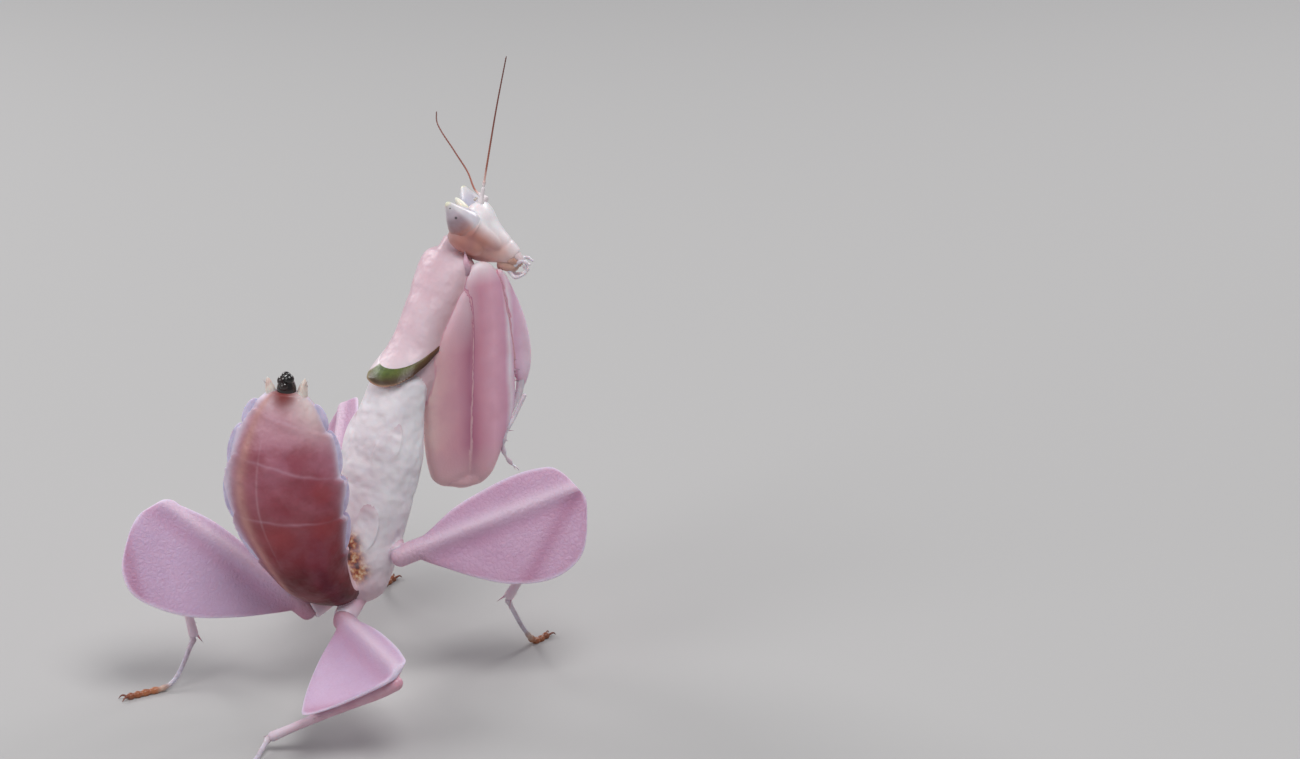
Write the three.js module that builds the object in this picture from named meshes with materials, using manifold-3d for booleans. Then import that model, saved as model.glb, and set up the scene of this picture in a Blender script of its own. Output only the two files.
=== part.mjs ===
// Orchid mantis (Hymenopus coronatus), a late nymph, life size, as a still display model.
// Millimetres, +Z up. The animal faces -Y, its left side is +X, and it stands on z = 0.
//
// All pieces are placed from the waist, where the abdomen meets the thorax, so the figure group
// has its origin there. Each piece is a loft: a closed skin through oval sections along a path.

import * as THREE from "three";
import { ParametricGeometry } from "three/addons/geometries/ParametricGeometry.js";
import { mergeVertices } from "three/addons/utils/BufferGeometryUtils.js";
import Module from "manifold-3d";

const wasm = await Module();
wasm.setup();

// ---------------------------------------------------------------- driving dimensions, mm

const GAP = 0.1; // air between neighbouring pieces
const FLOOR = -5.1; // the floor, measured from the waist
const WAIST = [-0.1, 0.33, -FLOOR]; // the waist in the part's frame

const THORAX_BACK = [0, 0.6, 0];
const THORAX_FRONT = [0, -6.3, 14.6];
const PRONOTUM_BACK = [0, -5.4, 13.0];
const PRONOTUM_FRONT = [0, -11.6, 21.0];
const NECK_BACK = [0, -10.4, 20.0];
const NECK_FRONT = [0, 1.25, -0.25]; // in the head's frame
const PROSTERNUM_BACK = [0, -7.6, 14.6];
const PROSTERNUM_FRONT = [0, -11.4, 19.6];
const COLLAR_TILT = 20; // degrees the hind edge of the pronotum rises forwards
const COLLAR_TOP_TILT = 16.5; // degrees the collar's upper edge rises forwards
const COLLAR_LOW = 11.9; // distance of the lower edge from the waist, square to its tilt
const COLLAR_HIGH = 12.95; // distance of the upper edge, square to its own tilt

const HEAD_PLACE = [-0.6, -12.2, 22.6];
const HEAD_PITCH = -47; // degrees, chin up
const HEAD_ROLL = 7.5; // degrees, left side down
const HEAD_TURN = -55; // degrees, to its right
const CAPSULE_TOP = 0.95;
const CAPSULE_BOTTOM = -3.6;
const EYE_BASE = [1.35, -0.05, -0.35];
const EYE_TIP = [2.62, -0.76, 2.1];
const ANTENNA_BASE = [0.38, -1.85, 0.62];
const ANTENNA_THICK = 0.5;
const PALP_THICK = 0.42;

const LOBE_THICK = 0.52; // petal lobes of the walking legs
const TARSUS_THICK = 0.52;
const SOLE_SINK = 0.1; // how much of each toe pad is cut off flat
const PAD_LENGTH = 1.3; // how much of each foot lies along the floor
const BLUNT = 0.2; // the share of its section at which a rounded end is closed off

const deg = THREE.MathUtils.degToRad;
const vec = (p) => new THREE.Vector3(...p);

// ---------------------------------------------------------------- making solids

// A geometry as a manifold solid, with its shared vertices merged and its pole slivers dropped.
function solidOf(geometry) {
  geometry.deleteAttribute("normal");
  geometry.deleteAttribute("uv");
  const merged = mergeVertices(geometry, 1e-4);
  const corners = merged.index.array;
  const kept = [];
  for (let i = 0; i < corners.length; i += 3) {
    const [a, b, c] = corners.slice(i, i + 3);
    if (a !== b && b !== c && c !== a) kept.push(a, b, c);
  }
  const vertProperties = merged.attributes.position.array;
  const triVerts = new Uint32Array(kept);
  return new wasm.Manifold(new wasm.Mesh({ numProp: 3, vertProperties, triVerts }));
}

// Sine or cosine pushed towards a rounded square when power is below 1.
const squared = (value, power) => Math.sign(value) * Math.abs(value) ** power;

// How open a section is, from 0 to 1, at a distance from an end that closes over a length.
// An end with no length to close over is cut off flat.
function opening(distance, length) {
  if (length === 0) return 1;
  const near = Math.min(distance / length, 1);
  return Math.max(Math.sqrt(1 - (1 - near) ** 2), BLUNT);
}

// Section sizes between rows of [place, size, size, ...].
const sizesOf = (rows) =>
  new THREE.CubicInterpolant(
    rows.map((row) => row[0]),
    rows.flatMap((row) => row.slice(1)),
    rows[0].length - 1,
  );

// A closed skin along a path. Each row is [place on the path, half width, rise, drop], where rise
// is measured towards `up` and drop away from it. `round` is how far each end takes to close, and
// `flare` widens the skin by that share from its start to its end.
function loft(shape, grow = 0) {
  const { path, up, rows, from = 0, to = 1, round = [0.05, 0.05] } = shape;
  const { sides = 12, steps = 9, square = 1, flare = 0 } = shape;
  const sizes = sizesOf(rows);
  const firstRow = rows[0][0];
  const lastRow = rows.at(-1)[0];
  const reach = grow / path.getLength();
  const start = from - reach;
  const end = to + reach;
  const upAt = typeof up === "function" ? up : () => up;

  function surface(u, v, target) {
    const ring = THREE.MathUtils.clamp((v * (steps + 2) - 1) / steps, 0, 1);
    const eased = ring - (0.75 * Math.sin(2 * Math.PI * ring)) / (2 * Math.PI);
    const t = start + (end - start) * eased;
    const inside = THREE.MathUtils.clamp(t, 0, 1);
    const heading = path.getTangent(inside);
    const centre = path.getPoint(inside).addScaledVector(heading, (t - inside) * path.getLength());
    const across = new THREE.Vector3().crossVectors(upAt(inside), heading).normalize();
    const lift = new THREE.Vector3().crossVectors(heading, across);
    const ends = Math.min(opening(t - start, round[0]), opening(end - t, round[1]));
    const open = v === 0 || v === 1 ? 0 : ends;
    const [side, rise, drop] = sizes.evaluate(THREE.MathUtils.clamp(t, firstRow, lastRow));
    const wide = side * (1 + (flare * (t - from)) / (to - from));
    const turn = 2 * Math.PI * u;
    const s = squared(Math.sin(turn), square);
    const c = squared(Math.cos(turn), square);
    target.copy(centre);
    target.addScaledVector(lift, (rise - drop) / 2 + ((rise + drop) / 2 + grow) * open * s);
    target.addScaledVector(across, (wide + grow) * open * c);
  }
  return solidOf(new ParametricGeometry(surface, sides, steps + 2));
}

const line = (a, b) => new THREE.LineCurve3(vec(a), vec(b));
const curve = (points) => new THREE.CatmullRomCurve3(points.map(vec), false, "centripetal");

// A round rod along a path, with a radius at its start and its end.
function rod(path, up, startRadius, endRadius, options = {}) {
  const row = (t, radius) => [t, radius, radius, radius];
  return { path, up, rows: [row(0, startRadius), row(1, endRadius)], sides: 8, ...options };
}

// The largest body left after cutting every tool away from a solid.
function cut(body, ...tools) {
  const left = tools.reduce((rest, tool) => rest.subtract(tool), body);
  return left.decompose().reduce((a, b) => (a.volume() > b.volume() ? a : b));
}

function piece(name, body, color, roughness = 0.5) {
  const { vertProperties, triVerts } = body.getMesh();
  const geometry = new THREE.BufferGeometry();
  geometry.setAttribute("position", new THREE.BufferAttribute(vertProperties, 3));
  geometry.setIndex(new THREE.BufferAttribute(triVerts, 1));
  geometry.computeVertexNormals();
  const material = new THREE.MeshStandardMaterial({ color, roughness, metalness: 0 });
  const mesh = new THREE.Mesh(geometry, material);
  mesh.name = name;
  return mesh;
}

const WHITE = 0xf3eeee;
const PINK = 0xe9bcd0;
const ROSE = 0xd19aa6;
const LAVENDER = 0xb9b4bf;
const LEMON = 0xd9d79a;
const RUST = 0x8a4a3c;
const SHELL = 0xe7d6cf;
const OLIVE = 0x66702c;
const EBONY = 0x1c1210;
const CREAM = 0xe9dccb;
const AMBER = 0xd9a070;

const UP = new THREE.Vector3(0, 0, 1);
const BACKWARDS = new THREE.Vector3(0, 1, 0);
const FORWARDS = new THREE.Vector3(0, -1, 0);

// ---------------------------------------------------------------- trunk

const thoraxPath = line(THORAX_BACK, THORAX_FRONT);
const pronotumPath = line(PRONOTUM_BACK, PRONOTUM_FRONT);

const thoraxRows = [
  [0, 1.8, 1.5, 1.7],
  [0.12, 2.4, 1.9, 2.5],
  [0.4, 2.7, 2.0, 2.55],
  [0.65, 2.7, 2.0, 2.3],
  [0.82, 2.1, 1.8, 1.8],
  [1, 1.7, 1.6, 1.4],
];
const WING_JOINT = 0.5; // where the middle and hind thorax part
const jointGap = GAP / 2 / thoraxPath.getLength();

const thorax = (from, to, round) => ({
  path: thoraxPath,
  up: BACKWARDS,
  rows: thoraxRows,
  from,
  to,
  round,
  sides: 14,
  steps: 5,
  square: 0.9,
});
const metathoraxShape = thorax(0.02, WING_JOINT - jointGap, [0.1, 0]);
const mesothoraxShape = thorax(WING_JOINT + jointGap, 0.985, [0, 0.06]);

// A wing pad lies on the back at one side and ends in a point nearer the middle.
const PAD_THICK = 0.25;
const thoraxSizes = sizesOf(thoraxRows);

// A point on the thorax's back, and the way the skin faces there.
function onBack(place, across) {
  const [half, rise] = thoraxSizes.evaluate(place);
  const out = rise * Math.sqrt(1 - (across / half) ** 2);
  const heading = thoraxPath.getTangent(place);
  const lift = new THREE.Vector3(0, heading.z, -heading.y);
  const point = thoraxPath.getPoint(place).addScaledVector(lift, out);
  point.x += across;
  const facing = lift.clone().multiplyScalar(out / rise ** 2);
  facing.x += across / half ** 2;
  return { point: point.toArray(), facing: facing.normalize() };
}
const wingPad = (side, top, tip) => ({
  path: curve([
    onBack(top, side * 1.45).point,
    onBack((top + tip) / 2, side * 1.7).point,
    onBack(tip, side * 1.2).point,
  ]),
  up: onBack((top + tip) / 2, side * 1.6).facing,
  rows: [
    [0, 0.4, PAD_THICK, PAD_THICK],
    [0.5, 0.8, PAD_THICK, PAD_THICK],
    [1, 0.5, PAD_THICK, PAD_THICK],
  ],
  round: [0.3, 0.35],
  sides: 8,
  steps: 4,
});
const withPads = (body, top, tip, grow = 0) =>
  body.add(loft(wingPad(1, top, tip), grow)).add(loft(wingPad(-1, top, tip), grow));

const pronotumShape = {
  path: pronotumPath,
  up: BACKWARDS,
  rows: [
    [0, 2.5, 2.0, 1.9],
    [0.15, 2.15, 1.7, 1.8],
    [0.3, 1.9, 1.5, 1.6],
    [0.5, 1.85, 1.6, 1.5],
    [0.75, 1.75, 1.6, 1.2],
    [1, 1.5, 1.3, 0.9],
  ],
  from: -0.05,
  round: [0, 0.1],
  sides: 16,
  steps: 7,
  square: 0.92,
};
// Both edges of the collar, as planes that face up the body.
const upwards = (tilt) => [0, Math.sin(deg(tilt)), Math.cos(deg(tilt))];
const collarBottom = upwards(COLLAR_TILT);
const collarTop = upwards(COLLAR_TOP_TILT);
const collarTopDown = collarTop.map((n) => -n);

// What carries the forelegs, under the pronotum.
const prosternumShape = {
  path: line(PROSTERNUM_BACK, PROSTERNUM_FRONT),
  up: BACKWARDS,
  rows: [
    [0, 1.4, 1.3, 1.2],
    [0.6, 1.6, 1.3, 1.2],
    [1, 1.2, 1.0, 0.9],
  ],
  round: [0.15, 0.15],
  sides: 10,
  steps: 4,
};

// ---------------------------------------------------------------- head, in its own frame

const headFrame = new THREE.Group();
headFrame.position.set(...HEAD_PLACE);
headFrame.rotation.set(deg(HEAD_PITCH), deg(HEAD_ROLL), deg(HEAD_TURN), "ZXY");
headFrame.updateMatrix();
const inFigure = (body) => body.transform(headFrame.matrix.elements);

const capsuleShape = {
  path: line([0, 0, CAPSULE_TOP], [0, 0, CAPSULE_BOTTOM]),
  up: FORWARDS,
  rows: [
    [0, 1.0, 1.5, 1.0],
    [0.12, 1.7, 1.8, 1.7],
    [0.25, 2.05, 1.78, 1.8],
    [0.41, 2.0, 1.5, 1.7],
    [0.56, 1.55, 1.35, 1.5],
    [0.71, 1.12, 1.28, 1.1],
    [0.87, 0.85, 1.2, 0.45],
    [1, 0.6, 1.1, 0.1],
  ],
  round: [0.1, 0.06],
  sides: 16,
  steps: 10,
};

const mirrored = (point, side) => [point[0] * side, point[1], point[2]];

const eyeShape = (side) => ({
  path: line(mirrored(EYE_BASE, side), mirrored(EYE_TIP, side)),
  up: FORWARDS,
  rows: [
    [0, 0.95, 1.0, 0.95],
    [0.3, 1.0, 1.1, 1.05],
    [0.55, 0.78, 0.8, 0.8],
    [0.8, 0.42, 0.42, 0.42],
    [1, 0.14, 0.14, 0.14],
  ],
  round: [0.2, 0.06],
  sides: 12,
  steps: 8,
});

const hornShape = {
  path: line([0, -0.5, 0.7], [0, -0.62, 1.9]),
  up: FORWARDS,
  rows: [
    [0, 0.36, 0.28, 0.28],
    [0.5, 0.36, 0.25, 0.25],
    [1, 0.12, 0.1, 0.1],
  ],
  round: [0.1, 0.3],
  sides: 8,
  steps: 5,
};

const capsule = loft(capsuleShape);
const head = cut(capsule, loft(eyeShape(1), GAP), loft(eyeShape(-1), GAP), loft(hornShape, GAP));
headFrame.add(piece("head", head, WHITE, 0.45));
headFrame.add(piece("horn", loft(hornShape), LEMON));

// Each eye fills the socket left for it.
for (const [side, name] of [
  [1, "eye_left"],
  [-1, "eye_right"],
]) {
  headFrame.add(piece(name, loft(eyeShape(side)), LAVENDER, 0.25));
}

// Antennae spring from the forehead between the eyes.
const antennaRight = curve([
  mirrored(ANTENNA_BASE, -1),
  [-0.5, -4.7, 2.5],
  [-0.6, -7.0, 4.0],
  [-0.7, -9.9, 5.8],
]);
const antennaLeft = curve([
  ANTENNA_BASE,
  [1.1, -1.6, 1.35],
  [2.3, -1.75, 2.45],
  [4.0, -1.65, 4.0],
  [6.6, -1.5, 6.2],
  [7.35, -1.8, 6.75],
]);
const feeler = (path) =>
  rod(path, UP, ANTENNA_THICK / 2, ANTENNA_THICK / 2, { sides: 6, steps: 10, round: [0.02, 0.02] });
const headGrown = loft(capsuleShape, GAP);
headFrame.add(piece("antenna_left", cut(loft(feeler(antennaLeft)), headGrown), RUST));
headFrame.add(piece("antenna_right", cut(loft(feeler(antennaRight)), headGrown), RUST));

// Jaws and underlip behind the end of the face, with the two pairs of palps joined to them.
const jawShape = {
  path: line([0, 0.5, -2.9], [0, -0.3, -4.25]),
  up: FORWARDS,
  rows: [
    [0, 0.55, 0.5, 0.4],
    [0.6, 0.65, 0.55, 0.45],
    [1, 0.4, 0.4, 0.3],
  ],
  round: [0.2, 0.35],
  sides: 10,
  steps: 5,
};
const palpPaths = (side) => [
  curve([
    mirrored([0.35, -0.2, -3.85], side),
    mirrored([0.6, -0.85, -4.0], side),
    mirrored([0.55, -1.05, -4.55], side),
  ]),
  curve([
    mirrored([0.3, 0.3, -3.8], side),
    mirrored([0.42, 0.3, -4.4], side),
    mirrored([0.42, -0.4, -4.65], side),
    mirrored([0.4, -0.65, -4.25], side),
  ]),
];
let mouth = loft(jawShape);
for (const side of [1, -1]) {
  for (const path of palpPaths(side)) {
    const palp = rod(path, BACKWARDS, PALP_THICK / 2, PALP_THICK / 2, { sides: 5, steps: 3 });
    mouth = mouth.add(loft(palp));
  }
}
headFrame.add(piece("mouthparts", cut(mouth, headGrown), SHELL, 0.4));

// ---------------------------------------------------------------- figure

const figure = new THREE.Group();
figure.position.set(...WAIST);
figure.add(headFrame);

const pronotumWhole = loft(pronotumShape);
const pronotumGrown = loft(pronotumShape, GAP).trimByPlane(collarBottom, COLLAR_LOW - GAP);
const headInFigure = inFigure(headGrown);
const neckEnd = vec(NECK_FRONT).applyMatrix4(headFrame.matrix).toArray();
const neckShape = rod(line(NECK_BACK, neckEnd), BACKWARDS, 1.15, 1.05, { steps: 4, sides: 10 });
const pronotum = pronotumWhole.trimByPlane(collarTop, COLLAR_HIGH + GAP).add(loft(neckShape));
const collar = pronotumWhole
  .trimByPlane(collarBottom, COLLAR_LOW)
  .trimByPlane(collarTopDown, -COLLAR_HIGH);
figure.add(piece("pronotum", cut(pronotum, headInFigure), PINK));
figure.add(piece("pronotum_collar", cut(collar), OLIVE));

const FORE_PADS = [0.8, 0.55]; // where each pad starts and ends along the thorax
const HIND_PADS = [0.46, 0.2];
const metathorax = withPads(loft(metathoraxShape), ...HIND_PADS);
const metathoraxGrown = withPads(loft(metathoraxShape, GAP), ...HIND_PADS, GAP);
const mesothoraxGrown = withPads(loft(mesothoraxShape, GAP), ...FORE_PADS, GAP);
const mesothorax = cut(withPads(loft(mesothoraxShape), ...FORE_PADS), pronotumGrown, metathoraxGrown);
const prosternumGrown = loft(prosternumShape, GAP);
const prosternum = cut(loft(prosternumShape), pronotumGrown, mesothoraxGrown, headInFigure);
figure.add(piece("prosternum", prosternum, PINK, 0.6));
figure.add(piece("mesothorax", mesothorax, WHITE));
figure.add(piece("metathorax", metathorax, WHITE));

// ---------------------------------------------------------------- abdomen

// It curls up behind the thorax and turns its underside a little to the right.
const ABDOMEN_TWIST = 30; // degrees
const abdomenPath = curve([
  [0, -0.1, 1.9],
  [-0.2, 1.4, 1.8],
  [-0.15, 2.8, 3.1],
  [0.05, 3.8, 5.4],
  [0.38, 4.55, 8.8],
  [0.55, 4.35, 12.8],
  [0.6, 3.9, 16.5],
]);
const abdomenRows = [
  [0, 1.5, 1.0, 1.0],
  [0.167, 1.9, 1.3, 1.2],
  [0.333, 2.3, 1.7, 1.6],
  [0.5, 2.9, 2.0, 1.9],
  [0.667, 3.6, 2.1, 2.0],
  [0.78, 3.3, 1.9, 1.8],
  [0.86, 2.6, 1.6, 1.4],
  [0.92, 1.85, 1.2, 1.0],
  [0.965, 0.9, 0.75, 0.7],
];
const FLARE = 0.08; // how much wider each plate is at its hind edge
const SEAMS = [0.03, 0.29, 0.435, 0.583, 0.722, 0.848, 0.965];
const backOfBase = new THREE.Vector3(0, -0.2, 1);
const backOfTip = new THREE.Vector3(Math.sin(deg(ABDOMEN_TWIST)), -Math.cos(deg(ABDOMEN_TWIST)), 0);
const abdomenBack = (t) =>
  backOfBase.clone().lerp(backOfTip, THREE.MathUtils.smoothstep(t, 0.05, 0.45)).normalize();
const seamGap = GAP / 2 / abdomenPath.getLength();

const abdomenPart = (from, to) => ({
  path: abdomenPath,
  up: abdomenBack,
  rows: abdomenRows,
  from: from + seamGap,
  to: to - seamGap,
  round: [0, 0],
  sides: 16,
  steps: 3,
  flare: FLARE,
});
SEAMS.slice(0, -1).forEach((from, i) => {
  const part = loft(abdomenPart(from, SEAMS[i + 1]));
  figure.add(piece("abdomen_" + (i + 1), cut(part, metathoraxGrown), ROSE, 0.55));
});
const abdomenBase = loft({ ...abdomenPart(SEAMS[0], SEAMS[2]), steps: 5 }, GAP);

// The dark knob at the tip, and the two short tails beside it.
const abdomenEnd = abdomenPath.getPoint(SEAMS.at(-1));
const tipSide = new THREE.Vector3().crossVectors(UP, backOfTip).normalize();
const atTip = (across, up) =>
  abdomenEnd.clone().addScaledVector(tipSide, across).addScaledVector(UP, up).toArray();
const knobShape = rod(line(atTip(0, 0.1), atTip(0, 1.35)), backOfTip, 0.62, 0.36, {
  round: [0, 0.3],
  sides: 10,
  steps: 5,
});
figure.add(piece("abdomen_tip", loft(knobShape), EBONY, 0.2));
const lastPlate = loft(abdomenPart(SEAMS.at(-2), SEAMS.at(-1)), GAP);
for (const [side, name] of [
  [1, "cercus_left"],
  [-1, "cercus_right"],
]) {
  const cercusPath = line(atTip(side * 0.75, -1.2), atTip(side * 1.15, 0.8));
  const cercusShape = rod(cercusPath, backOfTip, 0.45, 0.28, { steps: 4, round: [0.1, 0.25] });
  const cercus = cut(loft(cercusShape), lastPlate, loft(knobShape, GAP));
  figure.add(piece(name, cercus, CREAM));
}

// ---------------------------------------------------------------- walking legs

const COXA_RADIUS = 0.8;
const HIP_RADIUS = 0.7;
const KNEE_RADIUS = 0.5;
const SHIN_ASIDE = 0.55; // how far the shin's top lies beside the thigh's lobe
const ANKLE_RADIUS = 0.36;

// Lobe outlines as fractions of the thigh's length: [place, rise, drop].
const hindLobe = [
  [0.05, 0.0, 0.03],
  [0.15, 0.04, 0.13],
  [0.3, 0.07, 0.27],
  [0.5, 0.085, 0.42],
  [0.7, 0.085, 0.5],
  [0.85, 0.06, 0.51],
  [0.97, 0.02, 0.43],
  [1.06, -0.06, 0.31],
];
const hindRightLobe = [
  [0.05, 0.0, 0.03],
  [0.15, 0.06, 0.14],
  [0.3, 0.095, 0.28],
  [0.5, 0.11, 0.43],
  [0.7, 0.11, 0.55],
  [0.82, 0.1, 0.58],
  [0.93, 0.08, 0.42],
  [1.02, 0.02, 0.2],
];
const middleLobe = [
  [0.08, 0.03, 0.04],
  [0.2, 0.07, 0.14],
  [0.35, 0.13, 0.26],
  [0.5, 0.16, 0.35],
  [0.7, 0.18, 0.4],
  [0.86, 0.165, 0.36],
  [0.96, 0.12, 0.26],
  [1.02, 0.02, 0.16],
];

// Joints are measured from the waist. `fall` is the way the lobe hangs from the thigh.
const legs = {
  hind_left: {
    coxa: [0.8, -0.4, 1.0],
    hip: [1.5, 1.7, -0.2],
    knee: [9.4, 6.6, 6.9],
    ankle: [8.4, 5.3, -2.7],
    heel: [7.7, 8.2, -4.7],
    toe: [8.8, 11.1, FLOOR],
    fall: [0.04, 0.8, -0.59],
    lobe: hindLobe,
  },
  hind_right: {
    coxa: [-0.8, -0.4, 1.0],
    hip: [-1.5, 1.8, 0],
    knee: [-10.6, 6.7, 0.6],
    ankle: [-3.4, 10.8, -4.3],
    heel: [-4.4, 13.5, FLOOR],
    toe: [-5.5, 16.6, FLOOR],
    fall: [0.48, 0.78, -0.4],
    lobe: hindRightLobe,
  },
  middle_left: {
    coxa: [1.5, -2.8, 3.9],
    hip: [3.0, -1.9, 3.5],
    knee: [9.9, -11.2, 8.2],
    ankle: [7.6, -9.9, -0.9],
    heel: [7.9, -11.2, -3.7],
    toe: [8.3, -13.9, FLOOR],
    fall: [0.56, 0.15, -0.83],
    lobe: middleLobe,
  },
  middle_right: {
    coxa: [-1.5, -2.8, 3.9],
    hip: [-3.0, -1.9, 3.5],
    knee: [-9.9, -11.5, 6.95],
    ankle: [-5.9, -9.1, -1.1],
    heel: [-6.1, -10.6, -3.8],
    toe: [-6.1, -13.0, FLOOR],
    fall: [-0.56, 0.15, -0.83],
    lobe: middleLobe,
  },
};

for (const [name, leg] of Object.entries(legs)) {
  const hip = vec(leg.hip);
  const knee = vec(leg.knee);
  const along = knee.clone().sub(hip);
  const thigh = along.length();
  along.normalize();
  const fall = vec(leg.fall);
  fall.addScaledVector(along, -fall.dot(along)).normalize();
  const face = new THREE.Vector3().crossVectors(along, fall);
  const rise = fall.clone().negate();

  const femurPath = line(leg.hip, leg.knee);
  const shaft = {
    path: femurPath,
    up: rise,
    rows: [
      [0, HIP_RADIUS, HIP_RADIUS, HIP_RADIUS],
      [0.3, 0.7, 0.65, 0.65],
      [0.8, KNEE_RADIUS, 0.48, 0.48],
      [1, 0.55, KNEE_RADIUS, KNEE_RADIUS],
    ],
    round: [0.05, 0.04],
    sides: 8,
    steps: 4,
  };
  const lobe = {
    path: femurPath,
    up: rise,
    rows: leg.lobe.map(([t, up, down]) => [t, LOBE_THICK / 2, up * thigh, down * thigh]),
    from: leg.lobe[0][0],
    to: leg.lobe.at(-1)[0],
    round: [0.08, 0.12],
    sides: 8,
    steps: 9,
    square: 0.8,
  };
  const femurWith = (grow) => loft(shaft, grow).add(loft(lobe, grow));

  const coxaPath = line(leg.coxa, leg.hip);
  const coxaShape = rod(coxaPath, UP, COXA_RADIUS, HIP_RADIUS, { steps: 3, round: [0.1, 0.15] });
  const coxa = cut(loft(coxaShape), metathoraxGrown, mesothoraxGrown, abdomenBase);
  const coxaGrown = loft(coxaShape, GAP);
  const femur = cut(femurWith(0), coxaGrown, metathoraxGrown, abdomenBase);

  // The shin passes on one side of the lobe.
  const ankle = vec(leg.ankle);
  const shinSide = Math.sign(ankle.clone().sub(knee).dot(face));
  const shinTop = knee.clone().addScaledVector(face, shinSide * SHIN_ASIDE);
  const shinPath = line(shinTop.toArray(), leg.ankle);
  const shinShape = rod(shinPath, face, KNEE_RADIUS, ANKLE_RADIUS, { steps: 5, round: [0.05, 0.04] });
  const tibia = cut(loft(shinShape), femurWith(GAP));

  const lift = TARSUS_THICK / 2 - SOLE_SINK;
  const onFloor = ([x, y, z]) => [x, y, Math.max(z, FLOOR + lift)];
  const heel = onFloor(leg.heel);
  const toe = onFloor(leg.toe);
  const ahead = new THREE.Vector3(toe[0] - heel[0], toe[1] - heel[1], 0).normalize();
  const ball = vec(toe).addScaledVector(ahead, -PAD_LENGTH).toArray();
  const footPath = curve([leg.ankle, heel, ball, toe]);
  const footRadius = TARSUS_THICK / 2;
  const footShape = rod(footPath, face, footRadius, footRadius, { sides: 6, steps: 6 });
  const foot = loft(footShape).trimByPlane([0, 0, 1], FLOOR);
  const tarsus = cut(foot, loft(shinShape, GAP));

  figure.add(piece(name + "_coxa", coxa, PINK, 0.55));
  figure.add(piece(name + "_femur", femur, PINK, 0.55));
  figure.add(piece(name + "_tibia", tibia, PINK, 0.55));
  figure.add(piece(name + "_tarsus", tarsus, AMBER, 0.55));
}

// ---------------------------------------------------------------- forelegs, each in its own frame

// Held folded: coxa down, femur up beside it, tibia back down along the femur's outer edge.
// In this frame -Y is across the leg towards its front, Z is up and X is its thickness.
function foreleg(name, side, place, splay, coxaTop) {
  const frame = new THREE.Group();
  frame.position.set(...place);
  frame.rotation.z = deg(splay);
  frame.updateMatrix();
  const local = frame.matrix.clone().invert().elements;
  const trunk = [prosternumGrown, pronotumGrown, mesothoraxGrown, headInFigure];
  const nearTrunk = trunk.map((body) => body.transform(local));
  const at = (across, height, out = 0) => [side * out, -across, height];

  const coxaShape = {
    path: curve([at(coxaTop, 12.9, -0.2), at(-0.85, 8), at(-1, 4.2), at(-0.95, 1.2), at(-0.7, -0.6)]),
    up: FORWARDS,
    rows: [
      [0, 0.75, 0.8, 0.8],
      [0.36, 0.75, 1.65, 1.65],
      [0.64, 0.75, 1.6, 1.6],
      [0.86, 0.75, 1.33, 1.33],
      [1, 0.7, 1.1, 1.1],
    ],
    round: [0.08, 0.12],
    sides: 8,
    steps: 5,
  };
  const femurShape = {
    path: curve([at(1.0, -0.9), at(1.65, 1.9), at(2.2, 4.6), at(2.35, 7.6), at(2.15, 11), at(1.6, 14.3)]),
    up: FORWARDS,
    rows: [
      [0, 0.7, 0.75, 0.75],
      [0.18, 0.75, 1.15, 1.15],
      [0.36, 0.8, 1.55, 1.55],
      [0.56, 0.8, 1.6, 1.6],
      [0.78, 0.75, 1.35, 1.3],
      [1, 0.6, 1.15, 1.1],
    ],
    round: [0.1, 0.1],
    sides: 10,
    steps: 6,
  };
  const trochanterShape = {
    path: line(at(-1.6, -0.05), at(1.5, -0.45)),
    up: UP,
    rows: [
      [0, 0.62, 0.3, 0.3],
      [0.5, 0.7, 0.6, 0.6],
      [1, 0.62, 0.4, 0.4],
    ],
    round: [0.2, 0.2],
    sides: 8,
    steps: 4,
  };
  const tibiaShape = {
    path: curve([at(2.6, 13.5), at(3.0, 12.6), at(4.05, 10), at(4.5, 7.5), at(4.7, 5.2)]),
    up: FORWARDS,
    rows: [
      [0, 0.4, 0.5, 0.5],
      [0.15, 0.4, 0.66, 0.66],
      [0.45, 0.4, 0.76, 0.76],
      [0.75, 0.4, 0.82, 0.82],
      [1, 0.3, 0.3, 0.3],
    ],
    round: [0.06, 0.14],
    sides: 8,
    steps: 5,
  };
  const clawPath = curve([at(4.6, 5.8), at(4.1, 4.2), at(3.5, 2.8)]);
  const clawShape = rod(clawPath, FORWARDS, 0.3, 0.25, { sides: 6, steps: 4 });
  const tarsusPath = curve([
    at(4.6, 4.9, 0.5),
    at(3.8, 3.6, 0.55),
    at(3.0, 2.2, 0.5),
    at(3.0, 1.1, 0.4),
    at(3.6, 0.1, 0.4),
  ]);
  const tarsusShape = rod(tarsusPath, FORWARDS, TARSUS_THICK / 2, TARSUS_THICK / 2, {
    sides: 6,
    steps: 6,
  });

  const coxaBody = loft(coxaShape).subtract(loft(trochanterShape, GAP));
  const coxa = cut(coxaBody, ...nearTrunk);
  const femur = cut(loft(femurShape).add(loft(trochanterShape)), loft(coxaShape, GAP), ...nearTrunk);
  const femurGrown = loft(femurShape, GAP);
  const tibia = cut(loft(tibiaShape).add(loft(clawShape)), femurGrown, ...nearTrunk);
  const tibiaGrown = loft(tibiaShape, GAP).add(loft(clawShape, GAP));
  const tarsus = cut(loft(tarsusShape), femurGrown, tibiaGrown);
  frame.add(piece(name + "_coxa", coxa, PINK));
  frame.add(piece(name + "_femur", femur, PINK));
  frame.add(piece(name + "_tibia", tibia, PINK));
  frame.add(piece(name + "_tarsus", tarsus, WHITE));
  figure.add(frame);
}

foreleg("fore_right", -1, [-1.7, -9.6, 6.4], -20, 0.4);
foreleg("fore_left", 1, [1.35, -12.0, 6.4], 20, -1.2);

const mantis = new THREE.Group();
mantis.add(figure);

export default mantis;
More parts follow.
